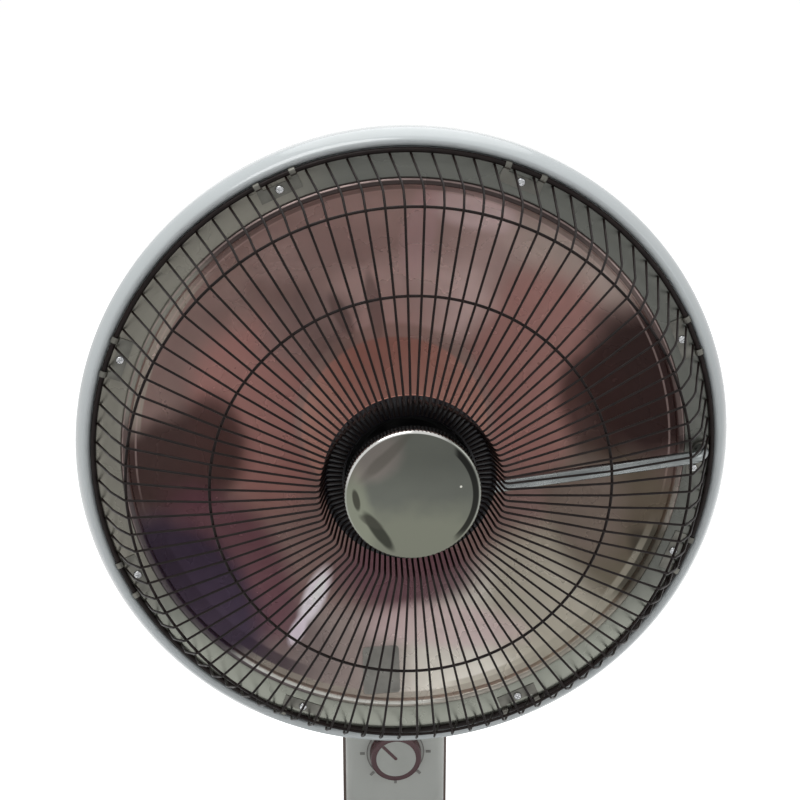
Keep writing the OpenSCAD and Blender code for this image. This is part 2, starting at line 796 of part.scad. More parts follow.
module bracket_screws() {
    color("gray") for (x = [-21, 21], z = [-11, 11])
        translate([x, shell_y + 3, tilt_z + z]) rotate([-90, 0, 0]) pan_screw(3.8, 2, 1.9, 9);
}

function shell_line(inset) = [for (i = [0:14]) let (a = 90 * i / 14)
    [back_r + (shell_edge_r + 2 - back_r - inset) * cos(a), rim_back - (shell_depth - inset) * sin(a)]];

module shell_bowl(inset) {
    rotate_extrude($fn = 96) polygon(concat(shell_line(inset), [[0, shell_back + inset], [0, rim_back]]));
}

module rear_shell() {
    slot_in = back_r + 12;
    color("white") head_place() difference() {
        union() {
            difference() {
                shell_bowl(0);
                shell_bowl(shell_t);
            }
            rotate_extrude($fn = 96) polygon([
                [shell_edge_r + 2, rim_back], [shell_edge_r, rim_back], [shell_edge_r, rim_back + 10],
                [shell_edge_r - shell_t, rim_back + 10], [shell_edge_r - shell_t, rim_back - 6],
                [shell_edge_r + 1, rim_back - 6]]);
            intersection() {
                shell_bowl(0.4);
                around(6, post_r, 30) translate([0, 0, shell_back]) cylinder(r = 5, h = shell_depth);
            }
            around(6, post_r, 30) translate([0, 0, rim_back - 1]) cylinder(r = 5, h = 4);
            translate([0, -tilt_drop, shell_back + 1]) for (x = [-21, 21], y = [-11, 11])
                translate([x, y, 0]) cylinder(r = 4.5, h = 8);
        }
        around(6, post_r, 30) {
            translate([0, 0, shell_back - 5]) cylinder(r = 1.9, h = 120);
            translate([0, 0, shell_back - 5]) cylinder(r = 3.9, h = shell_depth - 5);
        }
        translate([0, -tilt_drop, shell_back - cut]) for (x = [-21, 21], y = [-11, 11])
            translate([x, y, 0]) cylinder(r = 1.9, h = 8.5);
        for (i = [0:vent_n - 1]) rotate([0, 0, 90 + (i - (vent_n - 1) / 2) * 7.5])
            translate([slot_in, -2.2, shell_back - cut]) cube([42, 4.4, 60]);
    }
}

module shell_screws() {
    color("gray") head_place() around(6, post_r, 30)
        translate([0, 0, rim_back - 10 - touch]) rotate([180, 0, 0]) pan_screw(3.6, 1.8, 1.6, 24);
}

module head_rim() {
    nose = [seat_r + 3.4, ring_wire_r - 0.6];
    color("white") head_place() difference() {
        union() {
            rotate_extrude($fn = 128) polygon([
                [ledge_r, ledge_d], [seat_r, ledge_d], [seat_r, seat_d + 0.4],
                each arc([seat_r + 3.6, -2.4], 3.6, 180, 90, 5),
                each arc([rim_r - 9, -9], 9, 50, 0, 6),
                [rim_r - 0.6, rim_back + 6], [rim_r - 2, rim_back], [rim_r - 2 - 2, rim_back],
                [rim_r - 2.9, rim_back + 8], [rim_r - 2.6, -10], [seat_r + 4, ledge_d - 2.4],
                [ledge_r, ledge_d - 2.4]]);
            around(6, post_r, 30) translate([0, 0, rim_back + 3 + touch])
                cylinder(r = 4.4, h = ledge_d - 1 - rim_back - 3);
        }
        around(6, post_r, 30) translate([0, 0, rim_back]) cylinder(r = 1.6, h = 16);
        around(clip_n, clip_r, clip_step / 2 + clip_turn) translate([0, 0, -16])
            cylinder(r = 1.5, h = 40);
        tube_room();
        translate([tube_reach - 4, tube_y - 12, -16]) cylinder(r = 1.5, h = 40);
    }
}

// The dish: paraboloid, a raised bead round its edge, and the flat flange outside it
function dish_line(back) = concat(
    [for (i = [0:22]) let (r = dish_r * i / 22)
        [r, dish_mid_d + r * r / (4 * dish_focal) - back]],
    arc([dish_r + bead_r, seat_d - 1.4], bead_r + (back == 0 ? 0 : -back * 0.6), 165, 20, 6),
    [[dish_r + 2 * bead_r + 0.8, seat_d - back], [flange_r, seat_d - back]]);

module reflector_dish() {
    back_line = dish_line(dish_t);
    last = len(back_line) - 1;
    color("lightgray") head_place() difference() {
        rotate_extrude($fn = 128) polygon(concat(
            dish_line(0), [for (i = [last:-1:0]) back_line[i]]));
        around(clip_n, clip_r, clip_step / 2 + clip_turn) translate([0, 0, -16])
            cylinder(r = 1.6, h = 40);
        tube_room();
        translate([tube_reach - 4, tube_y - 12, -16]) cylinder(r = 1.6, h = 40);
    }
}

module guard_rings() {
    rings = [
        [ring_r, 0, ring_wire_r],
        [ring_two_r, two_d, thin_wire_r],
        [ring_three_r, three_d, thin_wire_r]];
    color("black") head_place() for (g = rings)
        rotate_extrude($fn = 128) translate([g[0], g[1]]) circle(g[2], $fn = 16);
}

// The guard's face falls away a little from the kink to the turn at the corner
slope = 0.03;
three_wire_d = face_d - slope * (ring_three_r - kink_r);
two_wire_d = corner_d + 12.4;
weld = wire_r + thin_wire_r + 0.04; // the inner rings lie behind the wires
corner_out = [corner_r - 1.6, corner_d + 2.4];
three_at = [ring_three_r, three_wire_d];
two_d = two_wire_d - weld;
three_d = three_wire_d - weld;
// The wires bend round the second ring: its centre is a weld's length from both legs
two_guess = [ring_two_r + weld / 2, two_wire_d];
two_out = unit(unit(corner_out - two_guess) + unit(three_at - two_guess));
two_at = [ring_two_r, two_d]
    - two_out * weld / sin(acos(unit(corner_out - two_guess) * two_out));
// The outer legs run past the outer ring on its inner side, a flat of the wire against it
corner_in = [corner_r + 1.2, corner_d - 2.6];
leg_gap = ring_wire_r + wire_r * cos(180 / wire_sides) + 0.1;
leg = [ring_r, 0] - corner_in;
wire_start = corner_in + polar(
    sqrt(leg * leg - leg_gap * leg_gap), atan2(leg[1], leg[0]) - asin(leg_gap / norm(leg)));

function wire_line() = [
    [wire_start[0], wire_start[1], wire_lean],
    [corner_in[0], corner_in[1], wire_lean * 0.08],
    [corner_out[0], corner_out[1], 0],
    [two_at[0], two_at[1], 0],
    [three_at[0], three_at[1], 0],
    [kink_r + 1.6, face_d, 0],
    [kink_r, face_d - 2, 0],
    [hub_r - 1.6, hub_d + wire_r + 1.4, 0],
    [hub_r - 3.4, hub_d + wire_r + 0.03, 0],
    [well_r + 1, hub_d + wire_r + 0.03, 0]];

function wire_points() = [for (p = wire_line()) [p[0] * cos(p[2]), p[0] * sin(p[2]), p[1]]];

// Rings of points round a path that stays close to one radial plane
function wire_rings(pts) = let (last = len(pts) - 1)
    [for (j = [0:last]) let (
        back = unit(pts[max(j, 1)] - pts[max(j, 1) - 1]),
        next = unit(pts[min(j + 1, last)] - pts[min(j, last - 1)]),
        dir = unit(back + next),
        side = unit([0, 1, 0] - dir[1] * dir),
        out = cross(side, dir),
        mitre = 1 / max(0.6, back * dir))
        [for (k = [0:wire_sides - 1]) let (a = 360 * k / wire_sides)
            pts[j] - wire_r * (cos(a) * mitre * out + sin(a) * side)]];

module guard_wires() {
    rings = wire_rings(wire_points());
    color("black") head_place()
        for (i = [0:wire_n - 1]) rotate([0, 0, wire_turn + i * wire_step]) skin(rings);
}

// One clip: a foot under the screw and two hooks over the outer ring
module guard_clips() {
    hook_w = 3.6;
    hook_x = 11;
    hook_turn = asin(hook_x / ring_r);
    sheet = 0.8;
    grip = ring_wire_r + 0.1;
    color("silver") head_place() for (i = [0:clip_n - 1])
        rotate([0, 0, clip_step / 2 + clip_turn + i * clip_step]) {
            difference() {
                translate([clip_r - 4, -hook_x - hook_w / 2, seat_d])
                    cube([7, 2 * hook_x + hook_w, sheet]);
                translate([clip_r, 0, seat_d - cut]) cylinder(r = 1.6, h = 5);
            }
            for (a = [-1, 1]) rotate([0, 0, a * hook_turn]) translate([ring_r, hook_w / 2, 0])
                rotate([90, 0, 0]) linear_extrude(hook_w) difference() {
                    union() {
                        circle(grip + sheet);
                        translate([-grip - sheet, seat_d]) square([sheet, -seat_d]);
                        translate([clip_r + 2 - ring_r, seat_d])
                            square([ring_r - clip_r - 2 - grip, sheet]);
                    }
                    circle(grip);
                    translate([0, -6]) square([8, 6 + 0.8]);
                    translate([-grip + touch, -6]) square([grip + 2, 6]);
                    translate([-8, -8 + seat_d]) square([20, 8]);
                }
        }
}

module clip_screws() {
    color("silver") head_place() around(clip_n, clip_r, clip_step / 2 + clip_turn)
        translate([0, 0, seat_d + 0.8]) pan_screw(2.6, 1.6, 1.4, 7);
}

module hub_plate() {
    color("#222226") head_place() translate([0, 0, hub_d - 1.2]) difference() {
        cylinder(r = hub_r, h = 1.2, $fn = 96);
        translate([0, 0, -cut]) cylinder(r = well_r, h = 4, $fn = 96);
        around(4, hub_r - 4, 45 + wire_step / 2) translate([0, 0, -cut]) cylinder(r = 0.9, h = 4);
    }
}

// Black spun cup behind the hub plate: the well around the cap's stem
module hub_cup() {
    lip = hub_d - 1.2;
    floor_d = lip - well_depth;
    color("#181818") head_place() difference() {
        rotate_extrude($fn = 96) polygon([
            [0, floor_d], [31, floor_d], [35.5, floor_d + 4], [well_r + 0.4, lip - 1.2],
            [well_r + 5, lip - 1.2], [well_r + 5, lip], [well_r - 0.5, lip],
            [34.4, floor_d + 4.6], [30.5, floor_d + 1], [0, floor_d + 1]]);
        translate([0, 0, floor_d - cut]) cylinder(r = 2.6, h = 4);
    }
}

module centre_cap() {
    wall = 1;
    skirt = 9;
    dome_r = (cap_r * cap_r + cap_dome * cap_dome) / (2 * cap_dome);
    open = asin((cap_r - 3) / dome_r);
    top = cap_d + cap_dome;
    inner = cap_d - 0.5;
    color("gainsboro") head_place() difference() {
        rotate_extrude($fn = 96) polygon([
            [0, cap_d - skirt], [cap_r, cap_d - skirt], [cap_r, cap_d - 2],
            each arc([cap_r - 2.2, cap_d - 2], 2.2, 10, 55, 3),
            for (i = [7:-1:0]) [dome_r * sin(open * i / 7), top - dome_r * (1 - cos(open * i / 7))]]);
        difference() {
            translate([0, 0, cap_d - skirt - cut]) cylinder(r = cap_r - wall, h = skirt + cut - 1.6);
            translate([0, 0, cap_d - skirt - 2]) cylinder(r = 7, h = skirt + 4);
        }
        translate([0, 0, cap_d - skirt - cut]) cylinder(r = 2.5, h = skirt);
    }
}

module cap_stem() {
    floor_d = hub_d - 1.2 - well_depth + 1;
    color("silver") head_place() {
        translate([0, 0, floor_d]) cylinder(r = 6, h = cap_d - 9 - floor_d);
        translate([0, 0, floor_d - 4]) cylinder(r = 2.5, h = 5);
        translate([0, 0, cap_d - 9.01]) cylinder(r = 2.4, h = 7);
    }
}

// Ceramic-coated cone behind the hub, which the dish sees
emitter_top = hub_d - 1.2;
emitter_low = hub_d - 1.2 - well_depth - 5;
module emitter_shell() {
    wall = 1.4;
    color("salmon") head_place() difference() {
        rotate_extrude($fn = 96) polygon([
            [hub_r - 0.6, emitter_top], [hub_r - 0.6, emitter_top - 3], [core_r + 15, emitter_low + 1.5],
            [core_r + 12, emitter_low], [6, emitter_low], [6, emitter_low + wall],
            [core_r + 11.5, emitter_low + wall], [core_r + 14, emitter_low + wall + 1.4],
            [hub_r - 2.2, emitter_top - 2.6], [hub_r - 2.2, emitter_top]]);
        tube_room();
    }
}

// Grooved ceramic bobbin with a flange at each end
coil_pitch = 2 * coil_wire_r + 0.6;
coil_r = core_r + 2.4 + coil_wire_r;
core_top = emitter_low;
coil_top = core_top - 5;
module element_core() {
    color("salmon") head_place() translate([0, 0, core_top - core_len]) difference() {
        union() {
            cylinder(r = core_r + 2.1, h = core_len, $fn = 64);
            cylinder(r1 = core_r + 4, r2 = core_r + 6, h = 2.5, $fn = 64);
            translate([0, 0, core_len - 3]) cylinder(r = core_r + 7, h = 3, $fn = 64);
            cylinder(r1 = core_r - 3, r2 = core_r, h = 1);
        }
        translate([0, 0, -cut]) cylinder(r = 5, h = core_len + 2 * cut);
        around(8, core_r - 6, 0) translate([0, 0, -cut]) cylinder(r = 2, h = 8);
    }
}

// The element winds round the core as one tube; its ends run straight into the terminals
coil_len = coil_pitch * coil_n;
function coil_point(a) = [coil_r * cos(a), coil_r * sin(a), coil_top - coil_pitch * a / 360];
function coil_dir(a) = unit([-coil_r * sin(a), coil_r * cos(a), -coil_pitch / (2 * PI)]);
function coil_ring(c, a) = let (dir = coil_dir(a), out = [cos(a), sin(a), 0], up = cross(dir, out))
    [for (k = [0:coil_sides - 1]) let (t = 360 * k / coil_sides)
        c + coil_wire_r * (cos(t) * out + sin(t) * up)];
coil_steps_all = coil_n * coil_steps;
coil_tail = 3 * coil_wire_r;
function coil_rings() = concat(
    [coil_ring(coil_point(0) - coil_tail * coil_dir(0), 0)],
    [for (i = [0:coil_steps_all]) coil_ring(coil_point(i * 360 / coil_steps), i * 360 / coil_steps)],
    [coil_ring(coil_point(coil_n * 360) + coil_tail * coil_dir(0), 0)]);

module heater_coil() {
    color("chocolate") head_place() skin(coil_rings());
}

module coil_terminals() {
    wide = 2 * coil_wire_r + 1.4;
    half = coil_wire_r + 0.3; // how far a terminal reaches past the wire's middle
    color("silver") head_place() {
        translate([core_r + 2.2, -coil_tail - 3, coil_top - half])
            cube([wide, 3, core_top - 3 - coil_top + half]);
        translate([core_r + 2.2, coil_tail, core_top - core_len + 2.5])
            cube([wide, 3, coil_top - coil_len - core_top + core_len + half - 2.5]);
    }
}

// The lead tube rises through the flange, bends in and runs to the hub
tube_y = 2;
tube_low = -14;
tube_reach = ring_r - tube_step; // from the head's middle to the tube's upright end
tube_plan = 5.2; // degrees that the run falls towards the hub
tube_rise = 5.3; // degrees that the run climbs towards the hub
tube_run = tube_reach - core_r - 30.5;
bend_n = 5; // straight pieces in the bend
run_tilt = 90 - tube_rise;
function tube_at(a) = [tube_reach, tube_y, 2] + tube_bend * [
    (cos(a) - 1) * cos(tube_plan), (cos(a) - 1) * sin(tube_plan), sin(a)];
run_dir = [-sin(run_tilt) * cos(tube_plan), -sin(run_tilt) * sin(tube_plan), cos(run_tilt)];
tube_line = concat(
    [[tube_reach, tube_y, tube_low]],
    [for (i = [0:bend_n]) tube_at(run_tilt * i / bend_n)],
    [tube_at(run_tilt) + tube_run * run_dir]);
module tube_shape(r) {
    for (i = [1:len(tube_line) - 1]) rod(tube_line[i - 1], tube_line[i], r);
    for (i = [1:len(tube_line) - 2]) translate(tube_line[i]) sphere(r + 0.02);
}

module tube_room() {
    tube_shape(tube_r + 0.15);
}

module lead_tube() {
    color("silver") head_place() difference() {
        tube_shape(tube_r);
        rod(tube_line[0] - [0, 0, cut], tube_line[1] - [0, 0, 3], tube_r - 0.8);
        rod(tube_line[bend_n + 1] + 3 * run_dir, tube_line[bend_n + 2] + cut * run_dir, tube_r - 0.8);
    }
}

module tube_bracket() {
    color("silver") head_place() difference() {
        union() {
            translate([tube_reach - 8, tube_y - 16, seat_d]) cube([9.5, 12, 1]);
            translate([tube_reach, tube_y, seat_d]) cylinder(r = tube_r + 1.4, h = 3.2);
        }
        translate([tube_reach, tube_y, -5]) cylinder(r = tube_r + touch, h = 20);
        translate([tube_reach - 4, tube_y - 12, -16]) cylinder(r = 1.6, h = 40);
        translate([ring_r - ring_wire_r - 0.5, tube_y - 30, -5]) cube([20, 60, 20]);
    }
}

module tube_screw() {
    color("silver") head_place() translate([tube_reach - 4, tube_y - 12, seat_d + 1])
        pan_screw(2.6, 1.6, 1.4, 7);
}

module terminal_block() {
    color("ivory") head_place() translate([22, 30, shell_back + shell_t]) difference() {
        translate([-18, -9, 0]) cube([36, 18, 12]);
        for (x = [-12, 0, 12], y = [-5, 5]) translate([x, y, 3]) cylinder(r = 2.2, h = 20);
    }
}

module thermal_cutout() {
    color("silver") head_place() translate([-34, 34, shell_back + shell_t]) {
        cylinder(r = 8, h = 8);
        translate([-12, -4, 0]) cube([24, 8, 1]);
        for (x = [-4, 3.4]) translate([x, -3, 8]) cube([0.6, 6, 5]);
    }
}

// ---- Draw ---------------------------------------------------------------------------
base_cover();
base_plate();
ballast();
ballast_screws();
base_feet();
base_screws();
swing_bush();
swing_motor();
motor_screws();
motor_shaft();
swing_pinion();
tip_holder();
tip_switch();
tip_plunger();
cord_gland();
pillar_foot();
swing_gear();
gear_screws();
pillar_frame();
frame_screws();
pillar_front();
pillar_rear();
pillar_trim();
pillar_screws();
control_switch();
switch_nut();
dial_scale();
swing_switch();
dial_shaft();
dial_knob();
dial_face();
swing_button();
tilt_pin();
tilt_nut();
friction_washers();
tilt_bracket();
bracket_screws();
rear_shell();
shell_screws();
head_rim();
reflector_dish();
guard_rings();
guard_wires();
guard_clips();
clip_screws();
hub_plate();
hub_cup();
centre_cap();
cap_stem();
emitter_shell();
element_core();
heater_coil();
coil_terminals();
lead_tube();
tube_bracket();
tube_screw();
terminal_block();
thermal_cutout();
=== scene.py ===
import json
import math

import bmesh
import bpy
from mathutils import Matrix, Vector


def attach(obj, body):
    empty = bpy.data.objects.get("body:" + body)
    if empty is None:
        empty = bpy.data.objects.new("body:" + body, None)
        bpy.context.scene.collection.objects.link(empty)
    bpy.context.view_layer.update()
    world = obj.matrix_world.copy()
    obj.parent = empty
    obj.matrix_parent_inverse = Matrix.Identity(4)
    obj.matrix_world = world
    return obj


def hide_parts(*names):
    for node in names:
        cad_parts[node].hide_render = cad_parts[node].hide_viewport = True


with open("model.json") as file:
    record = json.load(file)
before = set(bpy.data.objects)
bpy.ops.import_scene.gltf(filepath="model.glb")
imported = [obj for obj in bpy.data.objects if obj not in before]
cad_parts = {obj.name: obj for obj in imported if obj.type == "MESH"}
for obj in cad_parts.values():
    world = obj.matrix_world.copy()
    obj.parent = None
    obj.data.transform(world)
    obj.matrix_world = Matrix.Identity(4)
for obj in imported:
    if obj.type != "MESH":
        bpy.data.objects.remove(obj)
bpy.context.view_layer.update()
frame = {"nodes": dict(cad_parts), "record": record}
nodes = frame["nodes"]
scene = bpy.context.scene

# Where the head's axes start, in metres: the middle of the guard's outer ring
headFrame = {"ringFront": 0.100, "height": 0.440}


# A point on the head, from millimetres to the right, up and forward of that middle
def headPoint(x, y, d):
    return Vector((x / 1000, -headFrame["ringFront"] - d / 1000, headFrame["height"] + y / 1000))


def headTurn(r, a, d):
    return headPoint(r * math.cos(a), r * math.sin(a), d)


# A point from millimetres along the scene's own axes
def floorPoint(x, y, z):
    return Vector((x, y, z)) / 1000


def uprightTurn(r, a, z):
    return floorPoint(r * math.cos(a), r * math.sin(a), z)


# Turns a colour as it looks on a screen into the linear colour a shader takes
def onScreen(red, green, blue):
    def linear(v):
        v /= 255
        return v / 12.92 if v <= 0.04045 else ((v + 0.055) / 1.055) ** 2.4
    return (linear(red), linear(green), linear(blue), 1)


# ---- Nodes. Sets a node's inputs, each to a value or to another node's output
def feed(tree, node, inputs):
    for name, value in inputs.items():
        if hasattr(value, "is_output"):
            tree.links.new(value, node.inputs[name])
        else:
            node.inputs[name].default_value = value
    return node


def addNode(tree, kind, inputs=None, **settings):
    node = tree.nodes.new(kind)
    for name, value in settings.items():
        setattr(node, name, value)
    return feed(tree, node, inputs or {})


def maths(tree, operation, *values):
    return addNode(tree, "ShaderNodeMath", dict(enumerate(values)), operation=operation).outputs[0]


def mapRange(tree, value, low, high, toLow=0, toHigh=1, kind="LINEAR"):
    return addNode(tree, "ShaderNodeMapRange", {
        "Value": value, "From Min": low, "From Max": high, "To Min": toLow, "To Max": toHigh},
        interpolation_type=kind).outputs[0]


# ---- Camera, light and floor
cameraSettings = {"place": (-0.0575, -0.9458, 0.7643), "towards": (0.0601, 0.9454, -0.3203),
                  "lens": 67.5, "sensor": 36.0, "near": 0.02, "far": 60}
lightSettings = {
    "fill": 0.36, "floorTone": 0.82, "floorLift": 0.71, "floorSize": 14,
    "key": {"place": (-0.55, -0.75, 2.1), "aim": (0, -0.05, 0.42), "size": 1.3, "power": 17},
    "side": {"place": (1.5, -0.9, 1.0), "aim": (0, -0.05, 0.40), "size": 1.0, "power": 3},
    "top": {"place": (0.1, 0.6, 1.9), "aim": (0, -0.1, 0.6), "size": 1.6, "power": 9},
}


def makeCamera():
    s = cameraSettings
    data = bpy.data.cameras.new("photoCamera")
    data.lens, data.sensor_width = s["lens"], s["sensor"]
    data.clip_start, data.clip_end = s["near"], s["far"]
    camera = bpy.data.objects.new("photoCamera", data)
    camera.location = s["place"]
    camera.rotation_mode = "QUATERNION"
    camera.rotation_quaternion = Vector(s["towards"]).to_track_quat("-Z", "Y")
    scene.collection.objects.link(camera)
    scene.camera = camera


def makeLamp(name, settings):
    data = bpy.data.lights.new(name, "AREA")
    data.shape, data.size, data.energy = "DISK", settings["size"], settings["power"]
    lamp = bpy.data.objects.new(name, data)
    lamp.location = settings["place"]
    aim = Vector(settings["aim"]) - Vector(settings["place"])
    lamp.rotation_euler = aim.to_track_quat("-Z", "Y").to_euler()
    lamp.visible_camera = False
    scene.collection.objects.link(lamp)


# 1 for rays from the camera, a mirror or glass, and 0 for the light that falls on things
def seenDirectly(tree):
    rays = addNode(tree, "ShaderNodeLightPath").outputs
    either = maths(tree, "MAXIMUM", rays["Is Camera Ray"], rays["Is Glossy Ray"])
    return maths(tree, "MAXIMUM", either, rays["Is Transmission Ray"])


def makeWorld():
    world = bpy.data.worlds.new("studio")
    scene.world = world
    world.use_nodes = True
    tree = world.node_tree
    tree.nodes.clear()
    white = (1, 1, 1, 1)
    fill = addNode(tree, "ShaderNodeBackground", {"Color": white, "Strength": lightSettings["fill"]})
    backdrop = addNode(tree, "ShaderNodeBackground", {"Color": white})
    mix = addNode(tree, "ShaderNodeMixShader",
                  {0: seenDirectly(tree), 1: fill.outputs[0], 2: backdrop.outputs[0]})
    addNode(tree, "ShaderNodeOutputWorld", {"Surface": mix.outputs[0]})


def makeFloor():
    size, tone = lightSettings["floorSize"], lightSettings["floorTone"]
    mesh = bpy.data.meshes.new("floor")
    mesh.from_pydata([(-size, -size, 0), (size, -size, 0), (size, size, 0), (-size, size, 0)],
                     [], [(0, 1, 2, 3)])
    floor = bpy.data.objects.new("floor", mesh)
    scene.collection.objects.link(floor)
    material = bpy.data.materials.new("paleFloor")
    material.use_nodes = True
    tree = material.node_tree
    tree.nodes.clear()
    strength = maths(tree, "MULTIPLY", seenDirectly(tree), lightSettings["floorLift"])
    matt = addNode(tree, "ShaderNodeBsdfDiffuse", {"Color": (tone, tone, tone, 1)})
    lift = addNode(tree, "ShaderNodeEmission", {"Strength": strength})
    both = addNode(tree, "ShaderNodeAddShader", {0: matt.outputs[0], 1: lift.outputs[0]})
    addNode(tree, "ShaderNodeOutputMaterial", {"Surface": both.outputs[0]})
    mesh.materials.append(material)


scene.view_settings.view_transform = "Standard"
makeCamera()
for lampName in ("key", "side", "top"):
    makeLamp(lampName + "Lamp", lightSettings[lampName])
makeWorld()
makeFloor()
print("studio ready")

# ---- Finishes. Colours are as seen on a screen; grain is the pattern's scale per metre.
# What most finishes share, unless their own line says otherwise
finishDefaults = {"spread": 0.1, "bumpGrain": 900, "detail": 4, "bumpDetail": 2, "bumpDepth": 0.0004,
                  "metal": 0, "shine": 0.5, "coat": 0, "coatRough": 0.06}
finishSettings = {
    "glossWhite": {"tone": (202, 209, 211), "other": (195, 201, 202), "rough": 0.16, "spread": 0.05,
                   "grain": 14, "bump": 0.02, "bumpGrain": 420, "coat": 0.35},
    "satinGrey": {"tone": (196, 198, 192), "other": (188, 190, 185), "rough": 0.42, "spread": 0.08,
                  "grain": 18, "bump": 0.07},
    # the pillar's edge strips: their warm brown is painted shade and painted reflection of the
    # pillar's rounded edges
    "brownStripPaintedShade": {"tone": (108, 90, 82), "other": (92, 76, 70), "rough": 0.32, "spread": 0.08,
                   "grain": 60, "bump": 0.04, "bumpGrain": 500},
    "winePlastic": {"tone": (74, 30, 36), "other": (62, 24, 30), "rough": 0.3, "spread": 0.08,
                    "grain": 90, "bump": 0.04, "bumpGrain": 700},
    "palePlastic": {"tone": (186, 188, 182), "other": (177, 179, 173), "rough": 0.38, "spread": 0.08,
                    "grain": 60, "bump": 0.05},
    "scalePrint": {"tone": (142, 141, 136), "other": (124, 123, 119), "rough": 0.55,
                   "grain": 260, "bump": 0.03},
    "blackPlastic": {"tone": (34, 34, 35), "other": (26, 26, 27), "rough": 0.45,
                     "grain": 40, "bump": 0.08, "bumpGrain": 800},
    "naturalNylon": {"tone": (226, 220, 202), "other": (214, 207, 188), "rough": 0.4, "spread": 0.08,
                     "grain": 50, "bump": 0.04, "bumpGrain": 600},
    "redPlastic": {"tone": (168, 40, 34), "other": (150, 34, 30), "rough": 0.36, "spread": 0.08,
                   "grain": 70, "bump": 0.04, "bumpGrain": 600},
    "footRubber": {"tone": (40, 40, 41), "other": (30, 30, 31), "rough": 0.78,
                   "grain": 90, "bump": 0.2, "bumpGrain": 700},
    "zincSteel": {"tone": (188, 190, 192), "other": (160, 163, 166), "rough": 0.34, "spread": 0.12,
                  "grain": 55, "bump": 0.06, "bumpGrain": 500, "metal": 1},
    "screwSteel": {"tone": (196, 197, 198), "other": (166, 168, 170), "rough": 0.24,
                   "grain": 200, "bump": 0.05, "metal": 1},
    "guardPaint": {"tone": (26, 16, 14), "other": (16, 10, 9), "rough": 0.46,
                   "grain": 120, "bump": 0.08, "shine": 0.16},
    "hubPaint": {"tone": (34, 32, 38), "other": (20, 19, 24), "rough": 0.3, "spread": 0.12,
                 "grain": 80, "bump": 0.08, "bumpGrain": 700, "shine": 0.4},
    "clipSteel": {"tone": (108, 107, 101), "other": (92, 91, 86), "rough": 0.42,
                  "grain": 110, "bump": 0.06, "bumpGrain": 700, "metal": 1},
    "cupPaint": {"tone": (18, 18, 20), "other": (10, 10, 11), "rough": 0.34, "spread": 0.12,
                 "grain": 70, "bump": 0.05, "bumpGrain": 500},
    "castIron": {"tone": (74, 74, 76), "other": (54, 54, 57), "rough": 0.72, "spread": 0.12,
                 "grain": 90, "bump": 0.5, "bumpGrain": 420},
    "salmonGlaze": {"tone": (212, 150, 132), "other": (196, 132, 114), "rough": 0.6,
                    "grain": 60, "bump": 0.12},
    "blockCeramic": {"tone": (228, 224, 212), "other": (214, 209, 196), "rough": 0.6,
                     "grain": 60, "bump": 0.1, "bumpGrain": 700},
    "elementWire": {"tone": (112, 84, 70), "other": (70, 56, 50), "rough": 0.5, "spread": 0.15,
                    "grain": 240, "bump": 0.1, "metal": 1},
    "fibreWasher": {"tone": (142, 96, 58), "other": (120, 78, 46), "rough": 0.8,
                    "grain": 300, "bump": 0.3},
    "barePlate": {"tone": (146, 145, 139), "other": (128, 127, 122), "rough": 0.34,
                  "grain": 110, "bump": 0.05, "bumpGrain": 700, "metal": 0.6},
    "tubeChrome": {"tone": (142, 146, 146), "other": (120, 124, 124), "rough": 0.26, "spread": 0.08,
                   "grain": 60, "bump": 0.02, "bumpGrain": 200, "metal": 1},
}


def noise(tree, place, scale, detail):
    return addNode(tree, "ShaderNodeTexNoise",
                   {"Vector": place, "Scale": scale, "Detail": detail}).outputs["Fac"]


def blendColour(tree, factor, first, second):
    return addNode(tree, "ShaderNodeMix", {"Factor": factor, "A": first, "B": second},
                   data_type="RGBA").outputs["Result"]


# Noise keeps near its middle, so this much of it is spread over the whole range
noiseSpan = (0.3, 0.7)


def spreadRange(tree, factor, low, high):
    return mapRange(tree, factor, *noiseSpan, low, high)


def finishSurface(tree, shader, place, look):
    patches = noise(tree, place, look["grain"], look["detail"])
    specks = noise(tree, place, look["bumpGrain"], look["bumpDetail"])
    rough, spread = look["rough"], look["spread"]
    bump = addNode(tree, "ShaderNodeBump", {"Height": specks, "Strength": look["bump"],
                                            "Distance": look["bumpDepth"]})
    feed(tree, shader, {
        "Roughness": spreadRange(tree, patches, rough - spread, rough + spread),
        "Normal": bump.outputs[0], "Metallic": look["metal"], "Specular IOR Level": look["shine"],
        "Coat Weight": look["coat"], "Coat Roughness": look["coatRough"]})
    return patches


# The colour is whatever paint makes of the tree, the place on the piece, its patches and its look
def makeMaterial(name, settings, paint):
    look = {**finishDefaults, **settings}
    material = bpy.data.materials.new(name)
    material.use_nodes = True
    tree = material.node_tree
    shader = tree.nodes["Principled BSDF"]
    place = addNode(tree, "ShaderNodeTexCoord").outputs["Object"]
    patches = finishSurface(tree, shader, place, look)
    feed(tree, shader, {"Base Color": paint(tree, place, patches, look)})
    return material


def patchedPaint(tree, place, patches, look):
    return blendColour(tree, spreadRange(tree, patches, 0, 1),
                       onScreen(*look["tone"]), onScreen(*look["other"]))


finishes = {name: makeMaterial(name, settings, patchedPaint)
            for name, settings in finishSettings.items()}

